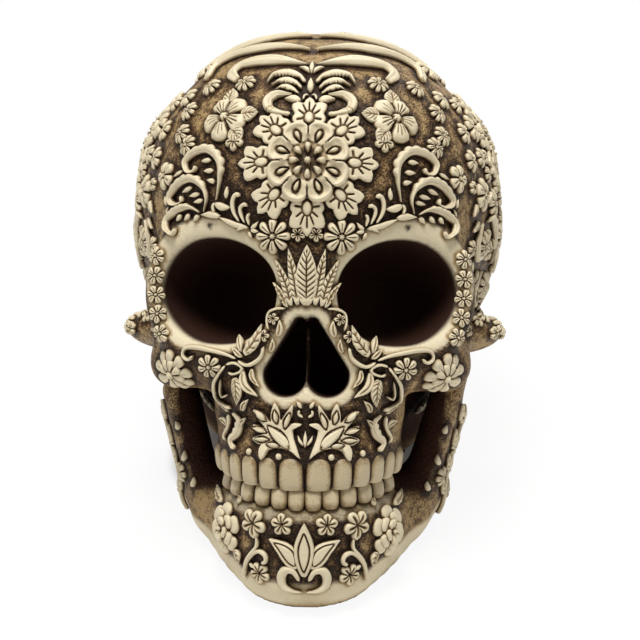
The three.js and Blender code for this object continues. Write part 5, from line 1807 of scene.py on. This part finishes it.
@dataclass
class CheekOrnament(Ornament):
    """Flowers and leaves round the cheeks, the nose and the upper lip."""

    wing_middle: Pair = (9.5, -52.5)
    wing: Sequence[Pair] = (
        (0.9, -61.2), (3.4, -59.4), (6.2, -58), (9.4, -57.6), (12.6, -58.4), (14, -60.6), (15.8, -61.4),
        (16.4, -58.6), (15.6, -56.4), (16.8, -56.2), (19.8, -54.3), (16.6, -52.9), (15.6, -52.6),
        (17, -51.4), (19.6, -49.2), (16.4, -49.3), (14.6, -50), (16.8, -46.6), (18.7, -42.6), (15, -44.6),
        (12.4, -47.4), (12.4, -44.4), (11.4, -41), (9.2, -44), (8.6, -46.8), (6.9, -44.4), (4.6, -41.7),
        (4.8, -45.6), (5.6, -48.2), (3.6, -48), (1.2, -48.6), (2.6, -49.6), (4.2, -50.6), (4, -53),
        (2.6, -57))
    drops: Sequence[tuple[Pair, Pair, float]] = (
        ((7.1, -50.2), (5.6, -44.6), 1.7), ((9.9, -48.2), (11, -43.6), 1.6),
        ((14, -47.2), (17.8, -43.4), 1.8), ((13.8, -51.9), (18.4, -49.8), 1.7),
        ((12.6, -54.8), (18, -54.4), 1.7), ((5.4, -57.8), (13, -49.4), 3.6),
        ((8.8, -57), (13.2, -56.4), 1.5))

    def build(self) -> None:
        """Draws the cheeks."""
        self._cheek_flowers()
        self._acanthus()
        self._nose_side()
        self._lip()
        self._orbit_chain()

    def _cheek_flowers(self) -> None:
        """The double flower on each cheekbone and the small one beside it."""
        piece = self.pair("cheek_flower")
        spot = self.flower(piece, blossom(Petal.ROUND, 9, 9.2, 2.0), 48.6, -30.2)
        self.carver.disc(piece, blossom(Petal.ROUND, 8, 5.6, 1.5, 1.5), spot)
        self.carver.disc(piece, ball(1.7, 4.2), spot)
        small = self.pair("cheek_small_flower", stands_for=False)
        self.flower(small, blossom(Petal.SLIM, 7, 4.6, 2.0), 35.4, -28.0, 10)

    def _acanthus(self) -> None:
        """The curled leaves under each eye and down the upper jaw."""
        piece = self.pair("cheek_acanthus", stands_for=False)
        rim = [(25, -25), (30, -23.6), (35, -22.6), (39.6, -21.7), (43.8, -21.9), (44.6, -24.2),
               (42.6, -25.6), (41, -24.4)]
        ring = [(29.2, -27), (26, -26.4), (22.8, -27.8), (23, -29.8), (26, -30.6), (28.4, -29.6)]
        ridge = [(29.4, -27.4), (32, -30.4), (33.6, -34.2), (32.1, -39.2), (27.1, -43.2)]
        hook = [(31.2, -32.2), (31, -36), (29.7, -38.6), (28.2, -38)]
        lobe = [(24.4, -25.6), (20.8, -27.4), (16.6, -24.6), (15.2, -20.6)]
        tail = [(26, -44.6), (23.6, -47.4), (24.2, -51.6), (26.6, -55), (25.4, -58)]
        other = [(27.6, -45), (27.4, -49), (29, -52.6), (28.6, -55)]
        self.strokes(piece, [stroke(path, width, 2.1, 0.6, 0.7) for path, width in
                             ((rim, 1.5), (ring, 1.5), (ridge, 1.7), (hook, 1.1), (lobe, 1.5), (other, 1.6))])
        self.carver.ribbon(piece, scroll(tail, 3.0, 2.2, 3))
        leaves = [((22.6, -24), (15.5, -12.8), 3.8, 0.08, 5), ((23.2, -23.4), (24.2, -17.6), 2.7, 0, 0),
                  ((22.8, -24.6), (27, -21.6), 2.2, 0, 0), ((25.6, -31.4), (24.4, -41.4), 4.8, -0.05, 7),
                  ((22.3, -28.6), (17.4, -38.6), 3.2, 0.22, 0), ((19.4, -28.2), (16.8, -35.4), 1.8, 0.16, 0),
                  ((22.6, -44), (20.6, -39.6), 2.0, -0.15, 0), ((27.8, -44.6), (31.6, -41), 2.4, 0.15, 0),
                  ((27.6, -50), (31.2, -46.6), 2.4, 0.15, 0), ((23.4, -50), (21.4, -46.2), 1.9, -0.15, 0)]
        self.strokes(piece, [leaf(a, b, w, bend, 2.1, veins) for a, b, w, bend, veins in leaves])

    def _nose_side(self) -> None:
        """Tiny flowers, an arc and a leaf beside the top of the nose."""
        piece = self.pair("nose_sprigs", stands_for=False)
        self.flower(piece, blossom(Petal.STAR, 5, 2.3, 1.6), 11.8, -10.6)
        self.flower(piece, blossom(Petal.STAR, 5, 2.3, 1.6), 15.4, -16.8)
        arc = [(7.4, -6.6), (10.6, -6.9), (13.2, -8.4), (13.9, -11.6), (13.4, -14.6)]
        self.strokes(piece, [stroke(arc, 1.1, 1.5, 0.8, 0.8), leaf((10.6, -17), (9.4, -11), 2.4, 0.1, 1.8),
                             leaf((13.4, -22.6), (12.2, -17.6), 1.9, 0.1, 1.7)])

    def _lip(self) -> None:
        """The two winged sprays between the nose and the upper teeth, with a trident between them."""
        piece = self.pair("lip_leaves")
        x, z = self.wing_middle
        spread = [(u - x, v - z) for u, v in self.wing]
        self.flower(piece, cutout(spread, 2.2, 256, 22, self._drop_lines), x, z)
        self.strokes(piece, [leaf(a, b, w, 0, 2.9, midrib=0) for a, b, w in self.drops])
        drop = self.single("lip_drop")
        self.strokes(drop, [leaf((0, -57.4), (0, -51.2), 1.5, 0, 1.9, midrib=0)])
        small = self.single("lip_trefoils", stands_for=False, both=True)
        self.strokes(small, [leaf((0.3, -56.8), (2.6, -52.8), 1.3, -0.1, 1.7, midrib=0),
                             leaf((1.4, -42.9), (3.2, -40.4), 1.4, 0, 1.7, midrib=0),
                             stroke([(0.9, -46), (2.4, -45), (2.3, -43.4)], 1.1, 1.6, 0.8, 0.8)])
        pearls = self.single("gum_pearls", stands_for=False, both=True)
        for place in ((9.4, -60.4), (20.3, -58.8)):
            self.flower(pearls, ball(1.15, 1.5), *place)

    def _drop_lines(self, u: Array, v: Array) -> tuple[Array, Array]:
        """The level of a wing and the dark lines round its drops, for points about the wing's middle."""
        place = np.stack([u, v], -1) + self.wing_middle
        cut = np.zeros_like(u)
        for base, tip, width in self.drops:
            way = np.subtract(tip, base)
            length = float(np.hypot(*way))
            along = (place - base) @ way / length**2
            aside = np.abs((place - base) @ np.array([-way[1], way[0]]) / length)
            half = width / 2 * np.sin(math.pi * np.clip(along, 0, 1))
            beyond = length * np.maximum(np.maximum(-along, along - 1), 0)
            away = np.hypot(aside - half, beyond)
            cut = np.maximum(cut, np.exp(-(((away - 0.25) / 0.36) ** 2)) * (aside > half))
        return 0.92 + 0 * u, 0.85 * cut

    def _orbit_chain(self) -> None:
        """A chain of small flowers down the outside of each eye, and a rosette on the arch behind."""
        piece = self.pair("arch_flower")
        self.flower(piece, blossom(Petal.ROUND, 8, 6.4, 2.4), 45, -13, 0, Laying.SIDE)
        chain_piece = self.pair("orbit_chain", stands_for=False)
        for n, place in enumerate(((55.4, 11.6), (55.9, 4.6), (55.7, -2.4), (54.9, -9.4), (53.4, -16.4))):
            self.flower(chain_piece, blossom(Petal.SLIM, 6, 3.5, 1.8), *place, 20 * n)


@dataclass
class JawOrnament(Ornament):
    """The lily on the chin, with flowers, scrolls and roses along the jaw."""

    @property
    def bone(self) -> Shape:
        """The lower jaw."""
        return self.jaw

    def build(self) -> None:
        """Draws the jaw."""
        lily = self.single("chin_lily")
        self.carver.ribbon(lily, leaf((0, -104.2), (0, -84.4), 7.2, 0, 3.0, 0, True, belly=0.5))
        sides = self.single("chin_lily_sides", stands_for=False, both=True)
        volute = [(1.7, -104.8), (3.5, -101.4), (6.4, -100.9), (8.0, -103.6), (7.1, -106.8), (4.3, -108.4),
                  (0.9, -108.9)]
        self.strokes(sides, [leaf((2.2, -101.4), (12.2, -89.8), 6.4, 0.1, 2.5, 0, True),
                             stroke(volute, 3.3, 2.7, 0.5, 0.2)])
        self._flowers()
        self._rose()
        self._scrolls()
        self._branch()

    def _flowers(self) -> None:
        """Small flowers under the lower teeth and beside the lily."""
        piece = self.pair("chin_flower")
        self.flower(piece, blossom(Petal.STAR, 5, 5.7, 2.3), 18.4, -84.6, 20)
        small = self.pair("jaw_small_flowers", stands_for=False)
        self.flower(small, blossom(Petal.STAR, 5, 4.2, 2.0), 8, -84.9, 50)
        self.flower(small, blossom(Petal.STAR, 5, 4.2, 2.0), 15.9, -102.4, 30)

    def _rose(self) -> None:
        """The full rose at each side of the chin, with its leaves."""
        rose = self.pair("jaw_rose")
        spot = Spot.at(self.jaw, Laying.SIGHT, 29.4, -86.6, 15)
        for radius, petals, turn, lift in ((9.8, 6, 0, 0.0), (7.0, 5, 24, 0.9), (4.4, 4, 50, 1.8)):
            self.carver.disc(rose, blossom(Petal.CUPPED, petals, radius, 1.8, lift).placed(0, 0, turn), spot)
        self.carver.disc(rose, ball(1.1, 3.8), spot)
        leaves = [((24.6, -78), (22.4, -72.4), 3.2, 0.1), ((30.4, -77.4), (32.6, -71.6), 3.2, -0.1),
                  ((25.4, -94), (23.2, -99.4), 3.4, -0.1)]
        self.strokes(rose, [leaf(a, b, w, bend, 2.0, 4) for a, b, w, bend in leaves])

    def _scrolls(self) -> None:
        """The scrolls beside the chin."""
        piece = self.pair("chin_scrolls", stands_for=False)
        stem = [(21.4, -103.8), (20.4, -98.4), (18.4, -95.2), (16.8, -92.8), (17, -89)]
        curl = [(19.4, -96.6), (16.6, -94.6), (14, -95.8), (13.6, -98.2), (15.2, -98.8)]
        self.strokes(piece, [stroke(stem[::-1], 2.0, 2.1, 0.4, 0.6), stroke(curl, 1.6, 2.0, 0.8, 0.9),
                             leaf((19.6, -98.6), (17, -100.4), 1.6, 0.1, 1.7, midrib=0)])

    def _branch(self) -> None:
        """Leaves and flowers up the rising branch of the jaw."""
        piece = self.pair("ramus_leaf")
        stem = [(47, -84), (43, -72), (42, -58), (44, -44)]
        self.carver.ribbon(piece, stroke(stem, 1.8, 1.8, 0.8, 0.6), Laying.SIDE)
        for n in range(4):
            z = -78 + 9.5 * n
            y = 45 - 1.0 * n
            leaves = [leaf((y, z), (y + 8, z + 7), 4.0, -0.1, 2.0, 4),
                      leaf((y - 1, z + 2), (y - 9, z + 8), 4.0, 0.1, 2.0, 4)]
            self.strokes(piece, leaves, Laying.SIDE)
        front = self.pair("ramus_garden", stands_for=False)
        for n, place in enumerate(((53.4, -45), (50.4, -55.6), (46.4, -66.4))):
            self.flower(front, blossom(Petal.SLIM, 6, 4.0, 1.9), *place, 25 * n)
        leaves = [((52.8, -52.4), (54.6, -49), 2.2), ((48, -51.4), (48.6, -48), 2),
                  ((46, -62.4), (45.4, -58.6), 2.2), ((50.4, -62.6), (52, -59.4), 2),
                  ((42.6, -72), (41.8, -68.4), 2.2)]
        self.strokes(front, [leaf(a, b, w, 0.1, 1.8, midrib=0) for a, b, w in leaves])


@dataclass
class SideOrnament(Ornament):
    """A large flower on each side of the head, with leaves, scrolls and small flowers, and the back."""

    flower_place: Pair = (-0.1, 0.42)
    flower_radius: float = 12.5
    leaf_size: tuple[float, float, float] = (13.0, 9.6, 2.4)
    curl: Sequence[Pair] = ((0, 0), (0.42, 0.27), (0.9, 0.14), (1, -0.2), (0.77, -0.38), (0.6, -0.18))
    vines: Sequence[tuple[Pair, float]] = (
        ((0.21, 0.2), 30), ((0, -0.06), 25), ((0.36, -0.25), 26), ((-0.07, -0.48), 26), ((0.24, 0.65), 28))
    fronds: Sequence[tuple[Pair, Pair]] = (
        ((0.2, 0.1), (0.02, 0.36)), ((0.5, 0.02), (0.36, -0.22)), ((0.08, -0.04), (0.24, -0.24)))
    back_scrolls: Sequence[tuple[Pair, float, int]] = (((0.085, 0.51), 25, 1), ((0.085, -0.39), 24, -1))
    flowers: Sequence[Pair] = (
        (0.31, 0.42), (0.62, 0.39), (0.76, 0.06), (0.4, -0.04), (-0.12, -0.11), (-0.33, 0.06), (-0.38, 0.45),
        (-0.31, 0.76), (0, 0.87), (0.29, 0.87), (0.62, 0.62), (0.83, -0.23), (0.71, -0.54), (0.33, -0.56),
        (-0.24, -0.37), (0.07, -0.76), (0.43, -0.79), (-0.43, -0.17))
    column: Sequence[Pair] = ((95, 4.6), (87, 4.4), (78, 5), (68, 5.4), (1, 5), (-8.5, 4), (-16.5, 3.6))
    cast_radius: float = 5.8
    seed_number: int = 31
    scatter_gap: float = 1.2
    scatter_radii: Pair = (2.4, 4.4)
    scatter_height: float = 1.9
    scatter_fields: Sequence[tuple[Laying, Pair, Pair, int]] = (
        (Laying.SIDE, (14, -44), (150, 98), 2600), (Laying.TOP, (3, 54), (46, 124), 500))

    def build(self) -> None:
        """Draws the sides and the back."""
        piece = self.pair("side_flower")
        form = blossom(Petal.RIMMED, 10, self.flower_radius, 3.4)
        spot = self.flower(piece, form, *self._on_side(*self.flower_place), 0, Laying.SIDE)
        for angle in range(0, 360, 45):
            self.shield_leaf(piece, spot, angle, self.flower_radius + 2.4, self.leaf_size)
        self._temple()
        self._vines()
        self._back()
        self._flowers()

    def _on_side(self, back: float, up: float) -> Pair:
        """A place on the side of the head from shares of the braincase."""
        (_, y, z), (_, deep, tall) = self.cranium.braincase
        return y + back * deep, z + up * tall

    def _temple(self) -> None:
        """Flowers and tendrils over the temple, between the eye and the side flower."""
        piece = self.pair("temple_garden", stands_for=False)
        self.flower(piece, blossom(Petal.SLIM, 5, 5.4, 2.2), 52.3, 40.7, 30)
        self.flower(piece, blossom(Petal.VEINED, 6, 6.4, 2.4), 24, 36.6, 10, Laying.SIDE)
        self.flower(piece, blossom(Petal.SLIM, 5, 4.2, 2.0), 38, 16.4, 60, Laying.SIDE)
        self.flower(piece, blossom(Petal.SLIM, 5, 3.6, 2.0), 26, 3.4, 0, Laying.SIDE)
        curls = [[(31, 27), (37, 28.6), (42.6, 24), (43, 18), (39.8, 21)],
                 [(24, 26), (22, 19), (25.6, 13), (30, 14.6), (28, 18)],
                 [(36, 9), (34, 1), (37.6, -5), (42, -3), (40.4, 1)],
                 [(46, 12), (50, 17), (56, 14.6), (55, 9.4), (51.6, 11)]]
        self.strokes(piece, [scroll(path, 2.8, 2.3, 5) for path in curls], Laying.SIDE)
        leaves = [((31, 24), (35.4, 20.4), 2.4), ((20.6, 27), (17.4, 22.4), 2.2),
                  ((20.4, 12), (19, 6.4), 2.4), ((31.6, 9.4), (30.4, 4), 2.4),
                  ((44, 5.6), (47.4, 1), 2.4), ((30, -2), (29, -7.4), 2.4),
                  ((17.6, 33), (15.6, 28), 2.2), ((32, 34), (37, 37.4), 2.6)]
        self.strokes(piece, [leaf(a, b, w, 0.1, 1.9) for a, b, w in leaves], Laying.SIDE)

    def _route(self, start: Pair, reach: float, rise: int = 1) -> list[Pair]:
        """The line of one curl."""
        return [(start[0] + u * reach, start[1] + rise * v * reach) for u, v in self.curl]

    def _vines(self) -> None:
        """Scrolls with fronds, behind and under the side flower."""
        piece = self.pair("side_vines", stands_for=False)
        for place, reach in self.vines:
            y, z = self._on_side(*place)
            self.carver.ribbon(piece, scroll(self._route((y, z), reach), 4.2, 2.7, 11), Laying.SIDE)
            for frond in self.fronds:
                ends = [(y + u * reach, z + v * reach) for u, v in frond]
                self.carver.ribbon(piece, leaf(*ends, 3.6, 0.1, 2.0, 4), Laying.SIDE)

    def _back(self) -> None:
        """A rosette with leaves on the back of the head, and two pairs of scrolls."""
        piece = self.single("back_rosette")
        spot = self.flower(piece, blossom(Petal.RIMMED, 8, 15, 3.4), 0, 34, 0, Laying.REAR)
        for n in range(8):
            self.shield_leaf(piece, spot, 45 * n, 18.2, (15.6, 11.4, 2.4))
        column = self.single("back_column", stands_for=False)
        for n, (z, radius) in enumerate(self.column):
            self.flower(column, blossom(Petal.SLIM, 6 + n % 2, radius, 2.3), 0, z, 30 * n, Laying.REAR)
        for n, ((across, up), reach, rise) in enumerate(self.back_scrolls, 1):
            made = self.pair(f"back_scroll_{n}")
            start = across * self.cranium.braincase[1][0], self._on_side(0, up)[1]
            path = [(-x, z) for x, z in self._route(start, reach, rise)]
            self.carver.ribbon(made, scroll(path, 4.0, 2.7, 10), Laying.REAR)

    def _flowers(self) -> None:
        """The flowers cast between the scrolls, and smaller ones in the bare places, evenly spaced."""
        piece = self.pair("cast_flowers", stands_for=False)
        for n, place in enumerate(self.flowers):
            form = blossom(Petal.SLIM, 6 + n % 3, self.cast_radius, 2.3)
            self.flower(piece, form, *self._on_side(*place), 23 * n, Laying.SIDE)
        self._scatter()

    def _scatter(self) -> None:
        """Small flowers and buds wherever the sides and the back are still bare."""
        taken = point_tree(self.carver.trace_all())
        draw = np.random.default_rng(self.seed_number)
        piece = self.pair("scattered_flowers", stands_for=False)
        smallest, largest = self.scatter_radii
        placed: list[tuple[Array, float]] = []
        for laying, low, high, tries in self.scatter_fields:
            places = draw.uniform(low, high, (tries, 2))
            for place, m in zip(places, Spot.middles(self.cranium, laying, places)):
                others = [np.linalg.norm(m - other) - reach for other, reach in placed]
                room = min([taken.find(m)[2], *others]) - self.scatter_gap
                radius = min(room, largest, m[0] - self.scatter_gap / 2)
                if radius < smallest or not self._is_bare(m, laying):
                    continue
                placed.append((m, radius))
                style, petals = (Petal.SLIM, 6) if radius > 3 else (Petal.STAR, 5)
                form = blossom(style, petals, radius, self.scatter_height)
                self.flower(piece, form, *place, draw.uniform(0, 360), laying)
        log.info("%d scattered flowers a side", len(placed))

    @staticmethod
    def _is_bare(m: Array, laying: Laying) -> bool:
        """Whether flowers may be scattered at a point: off the table, the face, the crown and the base."""
        crown = laying is Laying.SIDE and m[2] > 74 and m[1] < 62
        under = m[2] < -16 and m[1] < 62
        return not (HEAD.above_table(m) < 13 or m[1] < 12 or under or crown)


# Studio

@dataclass
class Studio:
    """The pale floor, the soft light and the camera."""

    floor_size: float = 6.0
    shade_middle: Sequence[float] = (-5.0, 95.0, -66.0)
    shade_half: Pair = (0.053, 0.052)
    even_light: float = 0.14
    lit_point: Triple = (0.0, 20.0, 10.0)
    lights: Sequence[tuple[str, Triple, float, float]] = (
        ("key", (-0.1, -0.12, 1.4), 0.5, 21.0), ("side", (0.95, -0.7, 0.5), 0.8, 1.5),
        ("other_side", (-1.0, -0.5, 0.45), 0.8, 1.5), ("back", (0.3, 1.2, 0.8), 0.8, 7.0))

    def build(self) -> None:
        """Sets up the picture."""
        self._floor()
        self._world()
        self._lights()
        self._camera()
        bpy.context.scene.view_settings.view_transform = "Standard"

    def _floor(self) -> None:
        """A pale floor that looks white, and dark only in the shade right under the head."""
        half = self.floor_size / 2
        mesh = bpy.data.meshes.new("floor")
        corners = [(-half, -half, 0), (half, -half, 0), (half, half, 0), (-half, half, 0)]
        mesh.from_pydata(corners, [], [(0, 1, 2, 3)])
        floor = add_object("floor", mesh)
        made, net = new_material("floor_white")
        middle = HEAD.to_world(np.array([self.shade_middle]))[0]
        scale = np.array([1 / self.shade_half[0], 1 / self.shade_half[1], 0.0])
        place = net.put("ShaderNodeTexCoord").outputs["Object"]
        inputs = {0: place, 1: tuple(scale), 2: tuple(-scale * middle)}
        aside = net.put("ShaderNodeVectorMath", inputs, operation="MULTIPLY_ADD").outputs[0]
        away = net.put("ShaderNodeVectorMath", {0: aside}, operation="LENGTH").outputs["Value"]
        lit = net.sum("ADD", net.ramp(away, 0.9, 1.1, 0.0, 0.92), net.ramp(away, 2.5, 8.0, 0.0, 0.08))
        seen = net.sum("MULTIPLY", net.put("ShaderNodeLightPath").outputs["Is Camera Ray"], lit)
        matt = net.put("ShaderNodeBsdfDiffuse", {"Color": srgb(243, 242, 240)})
        glow = net.put("ShaderNodeEmission", {"Color": (1, 1, 1, 1), "Strength": 1.0})
        both = net.put("ShaderNodeMixShader", {0: seen, 1: matt.outputs[0], 2: glow.outputs[0]})
        net.put("ShaderNodeOutputMaterial", {"Surface": both.outputs[0]})
        mesh.materials.append(made)

    def _world(self) -> None:
        """Even pale light, with white behind everything."""
        world = bpy.data.worlds.new("studio")
        bpy.context.scene.world = world
        world.use_nodes = True
        world.node_tree.nodes.clear()
        net = Net(world.node_tree)
        path = net.put("ShaderNodeLightPath").outputs
        seen = net.sum("MAXIMUM", path["Is Camera Ray"], path["Is Transmission Ray"])
        even = net.put("ShaderNodeBackground", {"Color": (1, 0.985, 0.96, 1), "Strength": self.even_light})
        white = net.put("ShaderNodeBackground", {"Color": (1, 1, 1, 1), "Strength": 1.0})
        both = net.put("ShaderNodeMixShader", {0: seen, 1: even.outputs[0], 2: white.outputs[0]})
        net.put("ShaderNodeOutputWorld", {"Surface": both.outputs[0]})

    def _lights(self) -> None:
        """A broad key light from above and softer ones from the sides and the back."""
        middle = Vector(HEAD.to_world(np.array([self.lit_point]))[0])
        for name, place, size, power in self.lights:
            light = bpy.data.lights.new(name, "AREA")
            light.size = size
            light.energy = power
            made = add_object(name, light)
            made.location = middle + Vector(place)
            made.rotation_euler = (-Vector(place)).to_track_quat("-Z", "Y").to_euler()

    def _camera(self) -> None:
        """The camera, level with the face as in the photo."""
        c, s = math.cos(VIEW_AZIMUTH), math.sin(VIEW_AZIMUTH)
        target = np.array([VIEW_ASIDE, 0.0, -VIEW_DROP])
        eye = target + VIEW_DISTANCE * np.array([s, -c, 0.0])
        target, eye = (Vector(HEAD.to_world(p[None])[0]) for p in (target, eye))
        lens = bpy.data.cameras.new("camera")
        lens.lens = VIEW_LENS
        lens.sensor_width = SENSOR_WIDTH
        camera = add_object("camera", lens)
        camera.location = eye
        aim = (target - eye).to_track_quat("-Z", "Y") @ Quaternion((0, 0, 1), VIEW_ROLL)
        camera.rotation_euler = aim.to_euler()
        bpy.context.scene.camera = camera


def main() -> None:
    """Builds the skull and its studio."""
    finishes = Finishes()
    cranium = CraniumShape()
    jaw = JawShape(cranium)
    carver = Carver(finishes.relief)
    for group in (ForeheadOrnament, BrowOrnament, CheekOrnament, JawOrnament, SideOrnament):
        group(carver, cranium, jaw).build()
        log.info("%s drawn", group.__name__)
    carver.make()
    upper = ToothRow("upper_teeth", (8.6, 7, 7.2, 6.8, 6.8, 8.6), gum_drop=61, edge_drop=72.4)
    lower = ToothRow("lower_teeth", (5.6, 6, 6.8, 7, 7.2, 9), gum_drop=78.8, edge_drop=71.6, set_back=2.2)
    roots = [row.build(finishes.tooth) for row in (upper, lower)]
    ornament = point_tree(np.vstack(carver.outline + roots))
    CraniumCasting("cranium", cranium).build(finishes.bone, ornament)
    JawCasting("jaw", jaw).build(finishes.bone, ornament)
    Septum().build(finishes.bone)
    FeltPads().build(finishes.felt)
    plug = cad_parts["base_plug"]
    plug.data.materials.clear()
    plug.data.materials.append(finishes.plug)
    Studio().build()


if __name__ == "__main__":
    main()
